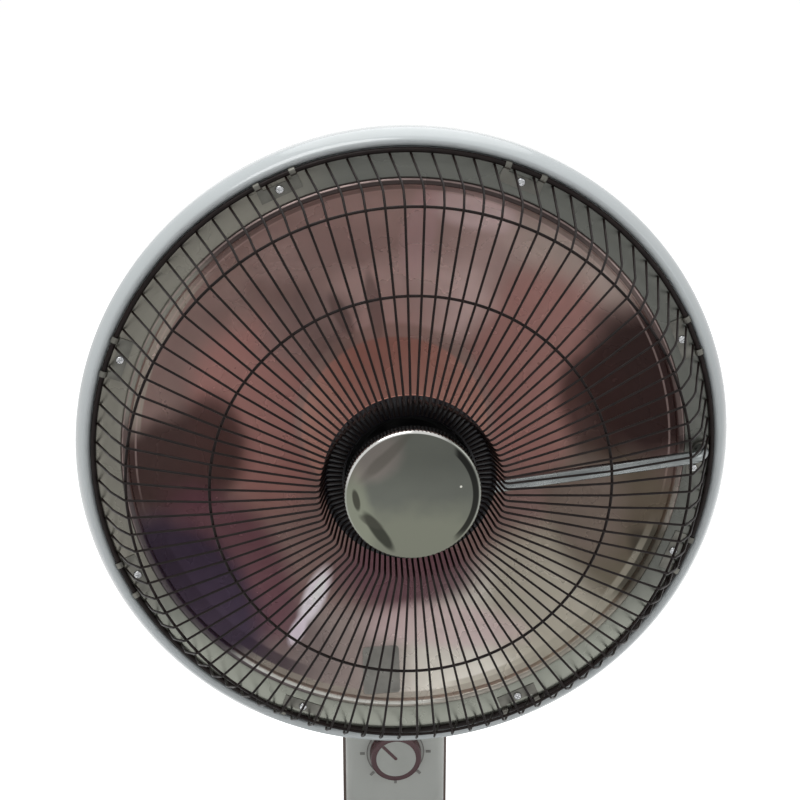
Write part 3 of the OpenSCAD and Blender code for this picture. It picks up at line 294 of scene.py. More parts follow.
# Each record slot's finish, for the nodes that show as they are
slotFinish = {
    "white_shell": "glossWhite", "grey_cover": "satinGrey", "brown_strip": "brownStripPaintedShade",
    "wine_plastic": "winePlastic", "pale_plastic": "palePlastic", "scale_print": "scalePrint",
    "black_plastic": "blackPlastic", "nylon": "naturalNylon", "red_plastic": "redPlastic",
    "feet_rubber": "footRubber", "zinc_steel": "zincSteel", "screw_steel": "screwSteel",
    "guard_paint": "guardPaint", "cup_paint": "cupPaint", "dish_metal": "zincSteel",
    "cap_chrome": "tubeChrome", "weight_iron": "castIron", "salmon_ceramic": "salmonGlaze",
    "block_ceramic": "blockCeramic", "element_wire": "elementWire", "fibre_washer": "fibreWasher",
}
nodeFinish = {"hub_plate": "hubPaint", "guard_clips": "clipSteel", "tube_bracket": "clipSteel"}
for part in frame["record"]["subparts"]:
    shown = nodes[part["node"]]
    shown.data.materials.clear()
    finish = nodeFinish.get(part["node"], slotFinish[part["material_slot"]])
    shown.data.materials.append(finishes[finish])
print("finishes ready:", len(finishes))

# Zones of painted reflection, painted shade and painted highlight on the head's polished metal,
# each an ellipse in the head's x and y: (middle, half lengths, turn in degrees, softness,
# tone painted on the metal, weight).
# A zone's soft edge reaches in and out by these shares of its softness, and wanders by another.
zoneEdge = {"out": 0.95, "in": 0.1, "wander": 0.9}


def zoneFactor(tree, flat, wobble, middle, reach, turn, softness, weight):
    centre = headPoint(*middle, 0)
    fit = addNode(tree, "ShaderNodeMapping", {
        "Vector": flat, "Location": (centre.x, 0, centre.z), "Rotation": (0, -math.radians(turn), 0),
        "Scale": (reach[0] / 1000, 1, reach[1] / 1000)}, vector_type="TEXTURE")
    size = addNode(tree, "ShaderNodeVectorMath", {0: fit.outputs[0]}, operation="LENGTH")
    moved = maths(tree, "MULTIPLY_ADD", wobble, zoneEdge["wander"] * softness, size.outputs["Value"])
    return mapRange(tree, moved, 1 + zoneEdge["out"] * softness, 1 - zoneEdge["in"] * softness,
                    0, weight, "SMOOTHSTEP")


# 1 between low and high, falling to 0 within soft
def bandFactor(tree, value, low, high, soft, weight):
    rise = mapRange(tree, value, low - soft, low, kind="SMOOTHSTEP")
    fall = mapRange(tree, value, high + soft, high, kind="SMOOTHSTEP")
    return maths(tree, "MULTIPLY", maths(tree, "MULTIPLY", rise, fall), weight)


def brighten(tone, gain):
    return tuple(min(1, v * gain) for v in onScreen(*tone)[:3]) + (1,)


# Paints reflections, shade and highlights into the base colour: patches, then each zone's ellipse and
# each band's ring over them
def paintedReflections(tree, place, patches, look):
    split = addNode(tree, "ShaderNodeSeparateXYZ", {0: place}).outputs
    flat = addNode(tree, "ShaderNodeCombineXYZ", {"X": split["X"], "Z": split["Z"]}).outputs[0]
    wobble = maths(tree, "SUBTRACT", noise(tree, place, look["wave"], look["bumpDetail"]), 0.5)
    reach = addNode(tree, "ShaderNodeVectorMath", {0: flat, 1: (0, 0, headFrame["height"])},
                    operation="DISTANCE").outputs["Value"]
    gain = look["gain"]
    shade = blendColour(tree, spreadRange(tree, patches, 0, 1),
                        brighten(look["tone"], gain), brighten(look["other"], gain))
    for *form, tone, weight in look["zones"]:
        factor = zoneFactor(tree, flat, wobble, *form, weight)
        shade = blendColour(tree, factor, shade, brighten(tone, gain))
    for low, high, soft, tone, weight, limits in look["bands"]:
        factor = bandFactor(tree, reach, low / 1000, high / 1000, soft / 1000, weight)
        for first, last, fade, axis in limits:
            within = bandFactor(tree, split[axis], first, last, fade, 1)
            factor = maths(tree, "MULTIPLY", factor, within)
        shade = blendColour(tree, factor, shade, brighten(tone, gain))
    return shade


# The dish: aluminium with the reflections of the element, a dim room and the lamps painted into its
# colour as zones and bands, painted shade and thin painted highlights on its beaded edge, and a grey
# flange painted lighter towards the left and bottom.
# A band is (inner and outer radius, softness, tone, weight, limits), and each limit is
# (low, high, softness, axis) in metres.
mirrorPaintedReflections = {
    "tone": (116, 97, 92), "other": (106, 88, 84), "rough": 0.27, "spread": 0.05, "grain": 26,
    "bump": 0.015, "bumpGrain": 34, "metal": 0.5, "wave": 24, "gain": 1.95, "shine": 0.22,
    "zones": [
        # painted reflections: pale and pinkish patches over the dish, and thin streaks
        ((62, -128), (62, 27), 26, 0.8, (181, 177, 168), 0.95),
        ((100, -104), (40, 32), 45, 0.7, (140, 135, 122), 0.85),
        ((-38, -142), (30, 20), -16, 0.8, (124, 114, 110), 0.8),
        ((-78, -128), (30, 16), -34, 0.8, (96, 86, 84), 0.8),
        ((136, -52), (32, 40), 8, 0.7, (80, 73, 61), 0.9),
        ((118, -46), (16, 26), 0, 0.9, (108, 96, 90), 0.6),
        ((98, 132), (40, 22), -38, 0.8, (148, 136, 129), 0.8),
        ((0, 156), (58, 13), 0, 0.8, (138, 122, 117), 0.8),
        ((-8, 126), (50, 28), 0, 0.9, (156, 136, 132), 0.75),
        ((38, 150), (18, 9), -15, 0.9, (186, 168, 168), 0.85),
        ((-84, 14), (34, 52), 12, 0.6, (134, 99, 94), 0.9),
        ((82, 38), (32, 58), -8, 0.55, (134, 100, 95), 0.85),
        ((2, 82), (38, 24), 0, 0.8, (180, 160, 156), 0.85),
        ((-58, 66), (22, 20), 40, 0.8, (112, 96, 93), 0.7),
        ((10, 134), (7, 26), -6, 0.9, (176, 150, 152), 0.5),
        ((-16, 80), (3, 18), 10, 0.9, (84, 70, 68), 0.6),
        ((-36, 74), (3, 13), 24, 0.9, (84, 70, 68), 0.6),
        # painted reflection of the element's back: the salmon disc round the hub
        ((-3, 4), (62, 62), 0, 0.08, (128, 112, 106), 0.6),
        ((-3, -2), (59, 59), 0, 0.04, (146, 113, 104), 1),
        # painted dark reflections of a room: brown at the left and right, navy and wine low down, a
        # dark spot at the lower right
        ((-139, -8), (28, 26), 0, 0.8, (54, 39, 37), 0.95),
        ((-118, -4), (12, 22), 0, 0.9, (62, 44, 42), 0.7),
        ((148, 38), (30, 40), 10, 0.7, (34, 20, 19), 0.95),
        ((121, 20), (15, 27), 8, 0.8, (44, 29, 27), 0.8),
        ((-108, -78), (44, 18), -52, 0.9, (84, 54, 62), 0.85),
        ((-134, -88), (50, 20), -54, 0.7, (44, 36, 50), 0.95),
        ((4, -98), (32, 16), 0, 0.9, (84, 58, 66), 0.85),
        ((24, -128), (34, 9), 0, 0.9, (176, 156, 156), 0.7),
        ((153, -72), (7, 14), 20, 0.8, (48, 44, 38), 0.8),
        # painted highlight: a lilac streak, its bright core and a second spot
        ((-57, -108), (12, 5), 62, 0.9, (196, 184, 196), 0.95),
        ((-54, -104), (5.5, 2), 62, 0.9, (236, 232, 246), 1),
        ((-68, -125), (6, 3.4), 56, 0.9, (190, 180, 190), 0.8),
    ],
    "bands": [
        # bands inside the bead: painted pale-green and navy reflections
        (161, 165.6, 1.2, (134, 130, 120), 0.7, ((-0.3, -0.06, 0.02, "X"), (0.47, 0.54, 0.02, "Z"))),
        (161, 165.6, 1.2, (132, 128, 116), 0.7, ((0.04, 0.3, 0.02, "X"), (0.1, 0.37, 0.03, "Z"))),
        (158, 167, 1.5, (36, 27, 38), 0.7, ((-0.3, -0.08, 0.03, "X"), (0.3, 0.37, 0.03, "Z"))),
        (163.6, 166.6, 0.8, (84, 72, 69), 0.6, ((0.57, 0.7, 0.03, "Z"),)),
        (163.5, 167, 0.8, (120, 114, 104), 0.7, ((-0.09, 0.07, 0.03, "X"), (0.2, 0.3, 0.02, "Z"))),
        # the bead: painted shade, darkest at the top, with thin painted highlight lines and a painted
        # dark reflection at the lower right
        (167.2, 171.3, 0.5, (62, 52, 50), 0.92, ((0.4, 0.7, 0.05, "Z"),)),
        (167.2, 171.3, 0.5, (36, 30, 29), 0.85, ((0.58, 0.7, 0.02, "Z"),)),
        (167.2, 171.3, 0.5, (98, 97, 90), 0.9, ((-0.3, -0.11, 0.02, "X"), (0.48, 0.55, 0.02, "Z"))),
        (167.2, 171.3, 0.5, (56, 51, 52), 0.85, ((-0.3, -0.03, 0.04, "X"), (0.1, 0.4, 0.05, "Z"))),
        (167.2, 171.3, 0.5, (96, 92, 85), 0.8, ((-0.03, 0.3, 0.04, "X"), (0.1, 0.4, 0.05, "Z"))),
        (169.7, 170.3, 0.3, (112, 98, 95), 0.6, ((0.42, 0.7, 0.05, "Z"),)),
        (166.6, 168, 0.5, (168, 168, 162), 0.8, ((-0.1, 0.01, 0.02, "X"), (0.2, 0.3, 0.02, "Z"))),
        (164, 171.3, 0.8, (50, 47, 40), 0.85, ((0.12, 0.3, 0.01, "X"), (0.35, 0.385, 0.012, "Z"))),
        (162.4, 163, 0.4, (150, 132, 128), 0.45, ((0.44, 0.7, 0.04, "Z"),)),
        # the flange: grey with painted shade, painted lighter at the left and at the bottom
        (171.4, 190, 0.6, (74, 75, 71), 1, ()),
        (171.4, 190, 0.6, (94, 92, 85), 1, ((-0.3, -0.08, 0.05, "X"), (0.38, 0.62, 0.05, "Z"))),
        (171.4, 190, 0.6, (114, 116, 108), 1, ((0.1, 0.31, 0.06, "Z"),)),
    ],
}

# The cap's chrome: greyed, with painted reflections of a room, painted dark reflections in its rolled
# edge, a painted highlight along its upper edge and a painted glint
capPaintedReflections = {
    "tone": (88, 90, 84), "other": (80, 82, 77), "rough": 0.1, "spread": 0.04, "grain": 24,
    "bump": 0.02, "bumpGrain": 40, "metal": 1, "wave": 60, "gain": 1.05,
    "zones": [
        # painted reflections: lighter below and at the left, dark wedges and marks
        ((4, -40), (46, 26), 0, 0.7, (102, 104, 93), 0.9),
        ((-36, -6), (8, 34), 8, 0.8, (112, 115, 102), 0.8),
        ((-22, 24), (14, 9), 40, 0.8, (122, 112, 108), 0.5),
        ((-19.5, -21), (11, 2.6), -56, 0.6, (44, 45, 40), 0.92),
        ((-24, -14.5), (5.5, 2), -30, 0.7, (60, 60, 54), 0.7),
        ((-32.4, -1), (1.5, 5), 10, 0.6, (46, 45, 40), 0.85),
        ((-16, 24), (14, 2.4), 44, 0.9, (70, 68, 62), 0.5),
        # painted glint
        ((27, 6), (0.5, 0.5), 0, 0.8, (200, 200, 190), 0.8),
    ],
    "bands": [
        # painted dark reflection at the right of the rolled edge
        (34.4, 37, 0.8, (26, 26, 25), 0.92, ((0.026, 0.06, 0.004, "X"), (0.42, 0.47, 0.012, "Z"))),
        # painted highlight along the upper rolled edge
        (38, 40, 0.4, (132, 134, 128), 0.8, ((0.43, 0.6, 0.02, "Z"),)),
        (38, 40, 0.4, (206, 205, 202), 0.9, ((-0.05, 0.012, 0.012, "X"), (0.455, 0.6, 0.012, "Z"))),
    ],
}

finishes["mirror"] = makeMaterial("mirrorAluminiumPaintedReflections", mirrorPaintedReflections, paintedReflections)
finishes["capChromePaintedReflections"] = makeMaterial("capChromePaintedReflections", capPaintedReflections, paintedReflections)


# ---- Making pieces, in millimetres: steps round a rod, the radius that counts as a pole, and the
# angles in degrees past which an edge stays sharp
formSettings = {"rodSteps": 32, "uprightRodSteps": 40, "pole": 1e-6,
                "turnedAngle": 35, "cutAngle": 32, "wireAngle": 50}


def addPiece(name, mesh, body, finish, replaced):
    piece = bpy.data.objects.new(name, mesh)
    scene.collection.objects.link(piece)
    mesh.name = name
    mesh.materials.clear()
    mesh.materials.append(finishes[finish])
    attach(piece, body)
    if replaced:
        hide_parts(*replaced)


def smoothMesh(mesh, angle):
    mesh.polygons.foreach_set("use_smooth", [True] * len(mesh.polygons))
    mesh.set_sharp_from_angle(angle=math.radians(angle))
    mesh.update()


def closedMesh(verts, faces):
    mesh = bpy.data.meshes.new("form")
    mesh.from_pydata(verts, [], faces)
    work = bmesh.new()
    work.from_mesh(mesh)
    bmesh.ops.recalc_face_normals(work, faces=work.faces)
    work.to_mesh(mesh)
    work.free()
    return mesh


# A closed outline of (radius, height) points, turned about the axis that place gives
def revolve(line, steps, place=headTurn):
    verts, faces, rings = [], [], []
    for r, d in line:
        spots = steps if r > formSettings["pole"] else 1
        rings.append(range(len(verts), len(verts) + spots))
        verts += [place(r, 2 * math.pi * k / steps, d) for k in range(spots)]
    for one, two in zip(rings, rings[1:] + rings[:1]):
        for k in range(max(len(one), len(two)) if len(one) + len(two) > 2 else 0):
            n = (k + 1) % steps
            if len(one) == 1:
                faces.append((one[0], two[n], two[k]))
            elif len(two) == 1:
                faces.append((one[k], one[n], two[0]))
            else:
                faces.append((one[k], one[n], two[n], two[k]))
    mesh = closedMesh(verts, faces)
    smoothMesh(mesh, formSettings["turnedAngle"])
    return mesh


# A closed prism over an outline, between two levels
def prism(outline, low, high, place):
    n = len(outline)
    verts = [place(x, y, level) for level in (low, high) for x, y in outline]
    faces = [tuple(range(n)), tuple(range(2 * n - 1, n - 1, -1))]
    faces += [(k, (k + 1) % n, n + (k + 1) % n, n + k) for k in range(n)]
    return closedMesh(verts, faces)


def arcLine(centre, radius, first, last, steps):
    turns = [math.radians(first + (last - first) * i / steps) for i in range(steps + 1)]
    return [(centre[0] + radius * math.cos(a), centre[1] + radius * math.sin(a)) for a in turns]


# A smooth curve from the first of four points to the last, drawn towards the two between them
def bend(knots, steps):
    points = []
    for i in range(steps + 1):
        t = i / steps
        shares = ((1 - t) ** 3, 3 * t * (1 - t) ** 2, 3 * t * t * (1 - t), t ** 3)
        points.append(tuple(sum(k * p[axis] for k, p in zip(shares, knots)) for axis in (0, 1)))
    return points


def circlePlaces(count, radius, first):
    turns = [math.radians(first + 360 * k / count) for k in range(count)]
    return [(radius * math.cos(a), radius * math.sin(a)) for a in turns]


def rodLine(radius, low, high):
    return [(0, low), (radius, low), (radius, high), (0, high)]


# Closed rods at the places given, along the head's forward axis
def headRods(places, radius, low, high):
    return [revolve(rodLine(radius, low, high), formSettings["rodSteps"],
                    lambda r, a, d: headPoint(x + r * math.cos(a), y + r * math.sin(a), d))
            for x, y in places]


def uprightRod(x, y, line, steps=formSettings["uprightRodSteps"]):
    return revolve(line, steps,
                   lambda r, a, z: floorPoint(x + r * math.cos(a), y + r * math.sin(a), z))


def joinMeshes(parts):
    work = bmesh.new()
    for part in parts:
        work.from_mesh(part)
    whole = bpy.data.meshes.new("whole")
    work.to_mesh(whole)
    work.free()
    return whole


# The plain mesh that an object's modifiers make of it
def finishedMesh(thing):
    bpy.context.view_layer.update()
    graph = bpy.context.evaluated_depsgraph_get()
    return bpy.data.meshes.new_from_object(thing.evaluated_get(graph), depsgraph=graph)


def combine(first, second, operation):
    one, two = bpy.data.objects.new("one", first), bpy.data.objects.new("two", second)
    scene.collection.objects.link(one)
    scene.collection.objects.link(two)
    step = one.modifiers.new("combine", "BOOLEAN")
    step.object, step.operation, step.solver = two, operation, "MANIFOLD"
    result = finishedMesh(one)
    bpy.data.objects.remove(one)
    bpy.data.objects.remove(two)
    return result


# ---- Geometry Nodes trees
def startTree(name, inputs):
    tree = bpy.data.node_groups.new(name, "GeometryNodeTree")
    tree.interface.new_socket("Geometry", in_out="INPUT", socket_type="NodeSocketGeometry")
    for label, kind in inputs:
        tree.interface.new_socket(label, in_out="INPUT", socket_type="NodeSocket" + kind)
    tree.interface.new_socket("Geometry", in_out="OUTPUT", socket_type="NodeSocketGeometry")
    return tree, addNode(tree, "NodeGroupInput").outputs


def endTree(tree, begin, geometry):
    real = addNode(tree, "GeometryNodeRealizeInstances", {0: geometry})
    paint = addNode(tree, "GeometryNodeSetMaterial",
                    {"Geometry": real.outputs[0], "Material": begin["Material"]})
    addNode(tree, "NodeGroupOutput", {0: paint.outputs[0]})
    return tree


# Copies of the geometry about an axis through Centre, Count in all
def copiesAround(tree, begin, geometry):
    line = addNode(tree, "GeometryNodeMeshLine", {
        "Count": begin["Count"], "Start Location": begin["Centre"], "Offset": (0, 0, 0)})
    back = addNode(tree, "ShaderNodeVectorMath", {0: begin["Centre"], "Scale": -1},
                   operation="SCALE")
    shift = addNode(tree, "GeometryNodeTransform",
                    {"Geometry": geometry, "Translation": back.outputs[0]})
    index = addNode(tree, "GeometryNodeInputIndex").outputs[0]
    step = maths(tree, "DIVIDE", 2 * math.pi, begin["Count"])
    angle = maths(tree, "MULTIPLY_ADD", index, step, begin["First Turn"])
    turn = addNode(tree, "FunctionNodeAxisAngleToRotation", {"Axis": begin["Axis"], "Angle": angle})
    return addNode(tree, "GeometryNodeInstanceOnPoints", {
        "Points": line.outputs[0], "Instance": shift.outputs[0],
        "Rotation": turn.outputs[0]}).outputs[0]


pointsPerBend = 4  # round each bend of a wire


# Bent wires: a line of points, its corners rounded, given a round section and repeated
def makeWireTree():
    tree, begin = startTree("roundWires", [
        ("Wire Radius", "Float"), ("Bend Radius", "Float"), ("Sides", "Int"), ("Count", "Int"),
        ("First Turn", "Float"), ("Centre", "Vector"), ("Axis", "Vector"), ("Material", "Material")])
    curve = addNode(tree, "GeometryNodeMeshToCurve", {0: begin["Geometry"]})
    bent = addNode(tree, "GeometryNodeFilletCurve", {
        "Curve": curve.outputs[0], "Radius": begin["Bend Radius"], "Count": pointsPerBend,
        "Limit Radius": True}, mode="POLY")
    circle = addNode(tree, "GeometryNodeCurvePrimitiveCircle",
                     {"Resolution": begin["Sides"], "Radius": begin["Wire Radius"]})
    sweep = addNode(tree, "GeometryNodeCurveToMesh", {
        "Curve": bent.outputs[0], "Profile Curve": circle.outputs[0], "Fill Caps": True})
    return endTree(tree, begin, copiesAround(tree, begin, sweep.outputs[0]))


# A screw on each point, its head along Turn, its cross at a random angle
def makeScrewTree():
    tree, begin = startTree("screwsOnPoints", [
        ("Screw", "Object"), ("Turn", "Vector"), ("Seed", "Int"), ("Material", "Material")])
    info = addNode(tree, "GeometryNodeObjectInfo", {"Object": begin["Screw"]})
    turn = addNode(tree, "FunctionNodeEulerToRotation", {0: begin["Turn"]})
    place = addNode(tree, "GeometryNodeInstanceOnPoints", {
        "Points": begin["Geometry"], "Instance": info.outputs["Geometry"],
        "Rotation": turn.outputs[0]})
    chance = addNode(tree, "FunctionNodeRandomValue", {"Seed": begin["Seed"]}, data_type="FLOAT")
    floats = [s for s in chance.inputs if s.name in ("Min", "Max") and s.type == "VALUE"]
    floats[0].default_value, floats[1].default_value = 0, 2 * math.pi
    number = next(s for s in chance.outputs if s.type == "VALUE")
    about = addNode(tree, "ShaderNodeCombineXYZ", {"Z": number})
    spun = addNode(tree, "FunctionNodeEulerToRotation", {0: about.outputs[0]})
    spin = addNode(tree, "GeometryNodeRotateInstances", {
        "Instances": place.outputs[0], "Rotation": spun.outputs[0], "Local Space": True})
    return endTree(tree, begin, spin.outputs[0])


# Runs a tree on a mesh and keeps the plain result as a piece
def growPiece(name, mesh, tree, values, body, finish, replaced):
    seedObject = bpy.data.objects.new(name, mesh)
    scene.collection.objects.link(seedObject)
    modifier = seedObject.modifiers.new("grow", "NODES")
    modifier.node_group = tree
    values = dict(values, Material=finishes[finish])
    for item in tree.interface.items_tree:
        if item.in_out == "INPUT" and item.name in values:
            modifier[item.identifier] = values[item.name]
    grown = finishedMesh(seedObject)
    seedObject.modifiers.remove(modifier)
    bpy.data.objects.remove(seedObject)
    smoothMesh(grown, formSettings["wireAngle"])
    addPiece(name, grown, body, finish, replaced)


wireTree, screwTree = makeWireTree(), makeScrewTree()


def lineMesh(points, closed=False):
    mesh = bpy.data.meshes.new("line")
    count = len(points)
    mesh.from_pydata(points, [(i, (i + 1) % count) for i in range(count if closed else count - 1)], [])
    return mesh


# A round wire on the head along a line, repeated about the head's axis
def roundWire(name, line, radius, sides, finish, node, bendRadius=0, count=1, firstTurn=0):
    values = {"Centre": tuple(headPoint(0, 0, 0)), "Axis": (0, -1, 0), "Wire Radius": radius / 1000,
              "Bend Radius": bendRadius / 1000, "Sides": sides, "Count": count,
              "First Turn": math.radians(firstTurn)}
    growPiece(name, line, wireTree, values, "head", finish, (node,))


# ---- Guard. A wire's path is (radius, depth, lean in degrees) from the outer ring in to the hub,
# and a ring is (radius, depth, wire radius).
guardSettings = {
    "wireCount": 96, "wireRadius": 0.72, "sides": 8, "bend": 3.2, "firstTurn": 23.875,
    "path": ((184.75, -0.55, 1.6), (173.7, 30.9, 0.128), (170.9, 35.9, 0), (164.06, 45.78, 0),
             (115.3, 53.73, 0), (54.6, 55.6, 0), (53, 53.6, 0), (49.4, 34.12, 0),
             (47.6, 32.75, 0), (39.6, 32.75, 0)),
    "rings": {"guardOuterRing": (187, 0, 1.6), "guardSecondRing": (163.2, 44.29, 0.85),
              "guardThirdRing": (115.3, 52.12, 0.85)},
    "ringSteps": 256, "ringSides": 12,
}


def makeGuard():
    g = guardSettings
    path = lineMesh([headTurn(r, math.radians(lean), d) for r, d, lean in g["path"]])
    roundWire("guardWires", path, g["wireRadius"], g["sides"], "guardPaint", "guard_wires",
              g["bend"], g["wireCount"], g["firstTurn"])
    steps = g["ringSteps"]
    for name, (radius, d, wire) in g["rings"].items():
        circle = [headTurn(radius, 2 * math.pi * k / steps, d) for k in range(steps)]
        roundWire(name, lineMesh(circle, True), wire, g["ringSides"], "guardPaint", "guard_rings")
    print("guard ready")


makeGuard()

# ---- Dish, with its bead and flange
dishSettings = {"radius": 166, "focal": 100, "mid": -73.74, "bead": 2.6, "beadDrop": 1.4,
                "beadThin": 0.6, "beadArc": (165, 20, 14), "step": 0.8, "seat": -1.65,
                "flange": 187.9, "sheet": 0.8, "steps": 60, "turns": 256}


def dishLine(back):
    s = dishSettings
    line = []
    for i in range(s["steps"] + 1):
        r = s["radius"] * i / s["steps"]
        line.append((r, s["mid"] + r * r / (4 * s["focal"]) - back))
    line += arcLine((s["radius"] + s["bead"], s["seat"] - s["beadDrop"]),
                    s["bead"] - back * s["beadThin"], *s["beadArc"])
    level = s["seat"] - back
    return line + [(s["radius"] + 2 * s["bead"] + s["step"], level), (s["flange"], level)]


def makeDish():
    outline = dishLine(0) + dishLine(dishSettings["sheet"])[::-1]
    addPiece("mirrorDish", revolve(outline, dishSettings["turns"]), "head", "mirror",
             ("reflector_dish",))
    print("dish ready")


makeDish()

# ---- Rim round the dish: a smooth nose, its ledge and the posts behind it.
# Flank and inside are (distance in from the outer radius, level), places are (count, circle's
# radius, first turn in degrees), rods and holes are (radius, low, high), and the tube's holes are
# (x, y, radius).
rimSettings = {
    "seat": 188.9, "outer": 198.6, "ledge": (173.6, -2.5), "ledgeSheet": 2.4, "ledgeFoot": 4,
    "seatTop": -1.25, "nose": 3.6, "noseLevel": -2.4, "noseArc": (180, 90, 12), "noseHandle": 1.7,
    "noseSteps": 20, "side": -9, "sideHandle": -5.5, "flankSteps": 8,
    "flank": ((0.1, -13), (0.2, -18), (0.9, -22), (2, -24)),
    "inside": ((4, -24), (2.9, -16), (2.6, -10)), "turns": 256,
    "postPlaces": (6, 182, 30), "post": (4.4, -20.95, -3.4), "pilot": (1.6, -25, -8),
    "clipPlaces": (8, 180, 23.6), "clipHole": (1.5, -16, 3),
    "tubeHoles": ((180.5, 2, 4.15), (176.5, -10, 1.5)), "tubeCut": (-16, 3),
}


def makeRim():
    s = rimSettings
    seat, outer = s["seat"], s["outer"]
    nose, top = seat + s["nose"], s["noseLevel"] + s["nose"]
    ledgeRadius, ledge = s["ledge"]
    under = ledge - s["ledgeSheet"]
    line = [(ledgeRadius, ledge), (seat, ledge), (seat, s["seatTop"])]
    line += arcLine((nose, s["noseLevel"]), s["nose"], *s["noseArc"])
    line += bend([(nose, top), (nose + s["noseHandle"], top), (outer, s["sideHandle"]),
                  (outer, s["side"])], s["noseSteps"])[1:]
    line += bend([(outer - x, d) for x, d in s["flank"]], s["flankSteps"])
    line += [(outer - x, d) for x, d in s["inside"]]
    line += [(seat + s["ledgeFoot"], under), (ledgeRadius, under)]
    places = circlePlaces(*s["postPlaces"])
    rim = combine(revolve(line, s["turns"]), joinMeshes(headRods(places, *s["post"])), "UNION")
    cuts = headRods(places, *s["pilot"]) + headRods(circlePlaces(*s["clipPlaces"]), *s["clipHole"])
    for x, y, radius in s["tubeHoles"]:
        cuts += headRods([(x, y)], radius, *s["tubeCut"])
    mesh = combine(rim, joinMeshes(cuts), "DIFFERENCE")
    smoothMesh(mesh, formSettings["cutAngle"])
    addPiece("headRim", mesh, "head", "glossWhite", ("head_rim",))
    print("rim ready")


makeRim()

# ---- Rear shell: bowl, lip, posts with their screw wells, vents. Rods and holes are (radius, low,
# high), and the posts are cut off at fit inside the bowl.
shellSettings = {
    "back": 70, "edge": 196.2, "front": -24, "depth": 73, "wall": 2.2, "lip": (194.2, 192),
    "lipFront": -14, "steps": 48, "turns": 224, "fit": 0.6, "fitTop": -20,
    "post": (5, -97, -21), "well": (3.9, -102, -34), "passage": (1.9, -35, -19),
    "bracketPost": (4.5, -96, -88), "bracketHole": (1.9, -98, -89.5),
    "bracketDrop": 30, "bracketPlaces": (21, 11),
    "ventCount": 22, "ventStep": 7.5, "ventFrom": 82, "ventTo": 124, "ventWidth": 4.4,
    "ventCut": (-99, -59), "ventSteps": 8,
}


def bowlLine(inset, first=0):
    s = shellSettings
    line = []
    for i in range(s["steps"] + 1):
        a = math.radians(first + (90 - first) * i / s["steps"])
        line.append((s["back"] + (s["edge"] - s["back"] - inset) * math.cos(a),
                     s["front"] - (s["depth"] - inset) * math.sin(a)))
    return line


def ventMesh(number):
    s = shellSettings
    turn = math.radians(90 + (number - (s["ventCount"] - 1) / 2) * s["ventStep"])
    half, steps = s["ventWidth"] / 2, s["ventSteps"]
    outline = (arcLine((s["ventTo"] - half, 0), half, -90, 90, steps)
               + arcLine((s["ventFrom"] + half, 0), half, 90, 270, steps))
    return prism(outline, *s["ventCut"], lambda u, v, d: headPoint(
        u * math.cos(turn) - v * math.sin(turn), u * math.sin(turn) + v * math.cos(turn), d))


def makeShell():
    s = shellSettings
    lipOut, lipIn = s["lip"]
    floor, fit = s["front"] - s["depth"], s["fit"]
    inner = math.degrees(math.acos((lipIn - s["back"]) / (s["edge"] - s["back"] - s["wall"])))
    line = [(0, floor)] + bowlLine(0)[::-1]
    line += [(lipOut, s["front"]), (lipOut, s["lipFront"]), (lipIn, s["lipFront"])]
    line += bowlLine(s["wall"], inner) + [(0, floor + s["wall"])]
    room = [(0, s["fitTop"]), (s["edge"] - fit, s["fitTop"])] + bowlLine(fit) + [(0, floor + fit)]
    screws = circlePlaces(*rimSettings["postPlaces"])
    wide, tall = s["bracketPlaces"]
    brackets = [(x, y - s["bracketDrop"]) for x in (-wide, wide) for y in (-tall, tall)]
    posts = joinMeshes(headRods(screws, *s["post"]) + headRods(brackets, *s["bracketPost"]))
    posts = combine(posts, revolve(room, s["turns"]), "INTERSECT")
    mesh = combine(revolve(line, s["turns"]), posts, "UNION")
    cuts = [ventMesh(i) for i in range(s["ventCount"])]
    cuts += headRods(screws, *s["well"]) + headRods(brackets, *s["bracketHole"])
    for cut in (cuts, headRods(screws, *s["passage"])):
        mesh = combine(mesh, joinMeshes(cut), "DIFFERENCE")
    smoothMesh(mesh, formSettings["cutAngle"])
    addPiece("rearShell", mesh, "head", "glossWhite", ("rear_shell",))
    print("rear shell ready:", len(mesh.polygons), "faces")


makeShell()

# ---- Base cover: a smooth dome, its turning boss, screw posts and the cord's inlet. A knot of the
# dome is (radius, height, slope), rods and holes are (radius, low, high), and a block is (half
# width, near, far, low, high).
baseSettings = {
    "knots": ((0, 47, 0), (60, 45.5, -0.07), (110, 39, -0.21), (150, 27, -0.22)),
    "kneeSteps": 8, "edge": (158, 16), "edgeRadius": 10, "edgeArc": (60, 0, 10),
    "edgeSlope": -0.4, "low": 4, "wall": 2.5, "turns": 224,
    "bossAt": 40, "boss": ((57, 36.5), (54, 52)), "bushHole": (34.05, 7.5, 60), "bossTurns": 128,
    "postPlaces": (6, 155, 0), "post": (4.5, 7.55, 46), "pilot": (1.3, 6.5, 19.5),
    "fit": (0.5, 6), "inletBlock": (15, 146, 176, 7.55, 25.4),
    "inlet": (10, 163.5, 172.5, 8.1, 24.7), "passage": (6, 130, 169), "passageHeight": 16.4,
}


def domeLine(inset):
    s = baseSettings
    edge = arcLine(s["edge"], s["edgeRadius"] - inset, *s["edgeArc"])
    knots = [(r, z - inset, slope) for r, z, slope in s["knots"]] + [(*edge[0], s["edgeSlope"])]
    line = []
    for (r0, z0, slope0), (r1, z1, slope1) in zip(knots, knots[1:]):
        span = (r1 - r0) / 3
        line += bend([(r0, z0), (r0 + span, z0 + slope0 * span),
                      (r1 - span, z1 - slope1 * span), (r1, z1)], s["kneeSteps"])[:-1]
    return line + edge


def dome(inset, low):
    line = domeLine(inset)
    return revolve(line + [(line[-1][0], low), (0, low)], baseSettings["turns"], uprightTurn)


def block(wide, near, far, low, high):
    return prism([(-wide, near), (wide, near), (wide, far), (-wide, far)], low, high, floorPoint)


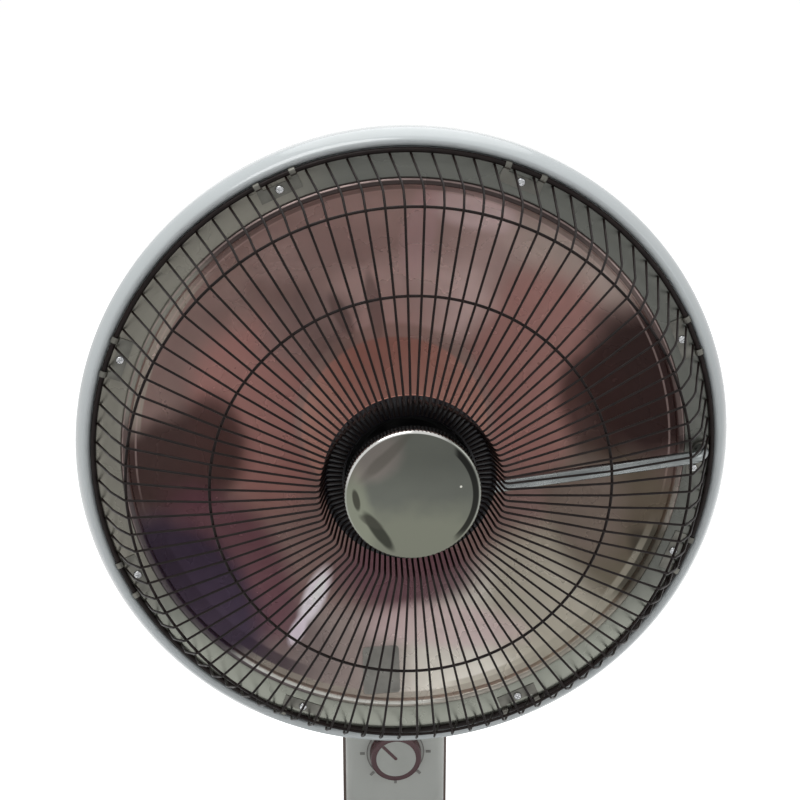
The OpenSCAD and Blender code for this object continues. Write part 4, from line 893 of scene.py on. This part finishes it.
def makeBase():
    s = baseSettings
    bossLine = [(0, s["boss"][0][1]), *s["boss"], (0, s["boss"][1][1])]
    boss = uprightRod(0, s["bossAt"], bossLine, s["bossTurns"])
    shell = combine(dome(0, s["low"]), boss, "UNION")
    shell = combine(shell, dome(s["wall"], s["low"] - 1), "DIFFERENCE")
    places = circlePlaces(*s["postPlaces"])
    posts = [uprightRod(x, y, rodLine(*s["post"])) for x, y in places]
    inside = combine(joinMeshes(posts + [block(*s["inletBlock"])]), dome(*s["fit"]), "INTERSECT")
    height = s["passageHeight"]
    passage = revolve(rodLine(*s["passage"]), formSettings["uprightRodSteps"],
                      lambda r, a, y: floorPoint(r * math.cos(a), y, height + r * math.sin(a)))
    holes = [uprightRod(0, s["bossAt"], rodLine(*s["bushHole"]), s["bossTurns"])]
    holes += [uprightRod(x, y, rodLine(*s["pilot"])) for x, y in places]
    mesh = combine(shell, inside, "UNION")
    for cut in (joinMeshes(holes), block(*s["inlet"]), passage):
        mesh = combine(mesh, cut, "DIFFERENCE")
    smoothMesh(mesh, formSettings["cutAngle"])
    addPiece("baseCover", mesh, "base", "glossWhite", ("base_cover",))
    print("base ready:", len(mesh.polygons), "faces")


makeBase()

# ---- Cap over the hub
capSettings = {"radius": 39.3, "edge": 59, "dome": 4.5, "domeIn": 3, "domeSteps": 24, "skirt": 9,
               "wall": 1, "roll": 2.2, "rollDrop": 2, "rollArc": (0, 62, 10), "under": (1.6, 2.6),
               "turns": 192}


def makeCap():
    s = capSettings
    radius, edge, wall, steps = s["radius"], s["edge"], s["wall"], s["domeSteps"]
    domeRadius = (radius ** 2 + s["dome"] ** 2) / (2 * s["dome"])
    opening = math.asin((radius - s["domeIn"]) / domeRadius)
    line = [(radius - wall, edge - s["skirt"]), (radius, edge - s["skirt"])]
    line += arcLine((radius - s["roll"], edge - s["rollDrop"]), s["roll"], *s["rollArc"])
    for i in range(steps, -1, -1):
        a = opening * i / steps
        line.append((domeRadius * math.sin(a), edge + s["dome"] - domeRadius * (1 - math.cos(a))))
    line += [(0, edge - s["rollDrop"]), (radius - wall - s["under"][0], edge - s["under"][1])]
    addPiece("hubCap", revolve(line, s["turns"]), "head", "capChromePaintedReflections", ("centre_cap",))
    print("cap ready")


makeCap()

# ---- Lead tube: up through the flange, round its bend and in to the hub
tubeSettings = {"radius": 4, "reach": 180.5, "side": 2, "low": -14, "foot": 2, "bend": 10,
                "plan": 5.2, "tilt": 84.7, "run": 133, "steps": 14, "sides": 32}


def makeTube():
    s = tubeSettings
    plan, tilt = math.radians(s["plan"]), math.radians(s["tilt"])
    inward, forward = Vector((-math.cos(plan), -math.sin(plan), 0)), Vector((0, 0, 1))
    foot = Vector((s["reach"], s["side"], s["foot"]))
    points = [Vector((s["reach"], s["side"], s["low"]))]
    for i in range(s["steps"] + 1):
        a = tilt * i / s["steps"]
        points.append(foot + s["bend"] * ((1 - math.cos(a)) * inward + math.sin(a) * forward))
    points.append(points[-1] + s["run"] * (math.sin(tilt) * inward + math.cos(tilt) * forward))
    roundWire("leadTube", lineMesh([headPoint(*v) for v in points]), s["radius"], s["sides"],
              "tubeChrome", "lead_tube")
    print("tube ready")


makeTube()

# ---- Bare plate low on the dish, bowed to the dish
plateSettings = {"middle": (-14.8, -151), "size": (23.6, 24), "corner": 2, "sheet": 0.35,
                 "lift": 0.1, "rows": 18, "columns": 10, "sharp": 40}


def makePlate():
    s = plateSettings
    rows, columns, corner = s["rows"], s["columns"], s["corner"]
    wide, tall = s["size"][0] / 2, s["size"][1] / 2
    verts, faces = [], []
    for lift in (s["lift"] + s["sheet"], s["lift"]):
        for i in range(rows + 1):
            v = -tall * math.cos(math.pi * i / rows)
            left = max(0, corner - (tall - abs(v)))  # how far into the rounded corner
            inset = corner - math.sqrt(corner ** 2 - left ** 2)
            for j in range(columns + 1):
                x = s["middle"][0] + (wide - inset) * (2 * j / columns - 1)
                y = s["middle"][1] + v
                d = dishSettings["mid"] + (x * x + y * y) / (4 * dishSettings["focal"]) + lift
                verts.append(headPoint(x, y, d))
    across = columns + 1
    layer = (rows + 1) * across
    for side in (0, layer):
        for i in range(rows):
            for j in range(columns):
                a = side + i * across + j
                faces.append((a, a + 1, a + across + 1, a + across))
    edge = [*range(columns), *range(columns, rows * across + columns, across),
            *range(rows * across + columns, rows * across, -1), *range(rows * across, 0, -across)]
    for a, b in zip(edge, edge[1:] + edge[:1]):
        faces.append((a, b, b + layer, a + layer))
    mesh = closedMesh(verts, faces)
    smoothMesh(mesh, s["sharp"])
    addPiece("barePlate", mesh, "head", "barePlate", ())
    print("plate ready")


makePlate()

# ---- Raised pointer over the groove of the dial's face
pointerSettings = {"width": 2.3, "from": -0.9, "to": 14.2, "turn": 42, "height": 167,
                   "front": 2.8, "floor": 3, "endSteps": 10, "sharp": 30}


def makePointer():
    s = pointerSettings
    half, turn = s["width"] / 2, math.radians(s["turn"])
    outline = [(half, s["to"]), (-half, s["to"])]
    outline += arcLine((0, s["from"] + half), half, 180, 360, s["endSteps"])
    mesh = prism(outline, s["front"], s["floor"], lambda across, along, y: floorPoint(
        across * math.cos(turn) - along * math.sin(turn), y,
        s["height"] + across * math.sin(turn) + along * math.cos(turn)))
    smoothMesh(mesh, s["sharp"])
    addPiece("dialPointer", mesh, "dial", "winePlastic", ())
    print("pointer ready")


makePointer()

# ---- Screws: head radius and height, shank radius and length, where they stand, which way they face
front, rear, down = (math.pi / 2, 0, 0), (-math.pi / 2, 0, 0), (math.pi, 0, 0)


def headCircle(level, *places):
    return [headPoint(x, y, level) for x, y in circlePlaces(*places)]


def floorCircle(level, *places):
    return [floorPoint(x, y, level) for x, y in circlePlaces(*places)]


screwSettings = {
    "clipScrews": {"size": (2.6, 1.6, 1.4, 7), "at": headCircle(-0.85, *rimSettings["clipPlaces"]),
                   "turn": front, "body": "head", "node": "clip_screws"},
    "tubeScrew": {"size": (2.6, 1.6, 1.4, 7), "at": [headPoint(176.5, -10, -0.65)],
                  "turn": front, "body": "head", "node": "tube_screw"},
    "shellScrews": {"size": (3.6, 1.8, 1.6, 24), "at": headCircle(-34.05, *rimSettings["postPlaces"]),
                    "turn": rear, "body": "head", "node": "shell_screws"},
    "bracketScrews": {"size": (3.8, 2, 1.9, 9), "turn": rear, "body": "head",
                      "at": [floorPoint(x, 0, z) for x in (-21, 21) for z in (399, 421)],
                      "node": "bracket_screws"},
    "pillarScrews": {"size": (3.3, 1.8, 1.25, 12.5), "turn": rear, "body": "pillar",
                     "at": [floorPoint(x, 29.5, z) for x in (-27, 27) for z in (88.65, 228.65, 349)],
                     "node": "pillar_screws"},
    "baseScrews": {"size": (3.6, 1.8, 1.3, 9.5), "at": floorCircle(6, *baseSettings["postPlaces"]),
                   "turn": down, "body": "base", "node": "base_screws"},
    "ballastScrews": {"size": (4, 2, 1.4, 8.5), "at": floorCircle(6, 3, 124, 150), "turn": down,
                      "body": "base", "node": "ballast_screws"},
    "motorScrews": {"size": (3.4, 1.8, 1.4, 4.5), "turn": down, "body": "base",
                    "at": [floorPoint(x, -14.35, 6) for x in (-30, 30)], "node": "motor_screws"},
}
# Shares of the head's radius and height: its profile, and the cross's arms, width and depth
screwForm = {"head": ((1, 0), (0.98, 0.3), (0.9, 0.66), (0.74, 0.9), (0.45, 1), (0, 1)),
             "arm": 0.56, "thin": 0.1, "deep": 0.55, "tip": 0.8, "tipLength": 0.6, "turns": 28}


def crossedScrew(headRadius, headHeight, shankRadius, length):
    s = screwForm
    line = [(0, -length), (shankRadius * s["tip"], -length),
            (shankRadius, -length + s["tipLength"]), (shankRadius, 0)]
    line += [(headRadius * r, headHeight * z) for r, z in s["head"]]
    arm, thin = headRadius * s["arm"], headRadius * s["thin"]
    corners = [(arm, thin), (thin, thin), (thin, arm), (-thin, arm), (-thin, thin), (-arm, thin),
               (-arm, -thin), (-thin, -thin), (-thin, -arm), (thin, -arm), (thin, -thin), (arm, -thin)]
    cross = prism(corners, headHeight * (1 - s["deep"]), headHeight + 1, floorPoint)
    mesh = combine(revolve(line, s["turns"], uprightTurn), cross, "DIFFERENCE")
    screw = bpy.data.objects.new("screw", mesh)
    scene.collection.objects.link(screw)
    return screw


def makeScrews():
    for number, (name, s) in enumerate(screwSettings.items()):
        screw = crossedScrew(*s["size"])
        points = bpy.data.meshes.new("points")
        points.from_pydata(s["at"], [], [])
        growPiece(name, points, screwTree, {"Screw": screw, "Turn": s["turn"], "Seed": number},
                  s["body"], "screwSteel", (s["node"],))
        bpy.data.objects.remove(screw)
    print("screws ready:", len(screwSettings))


makeScrews()
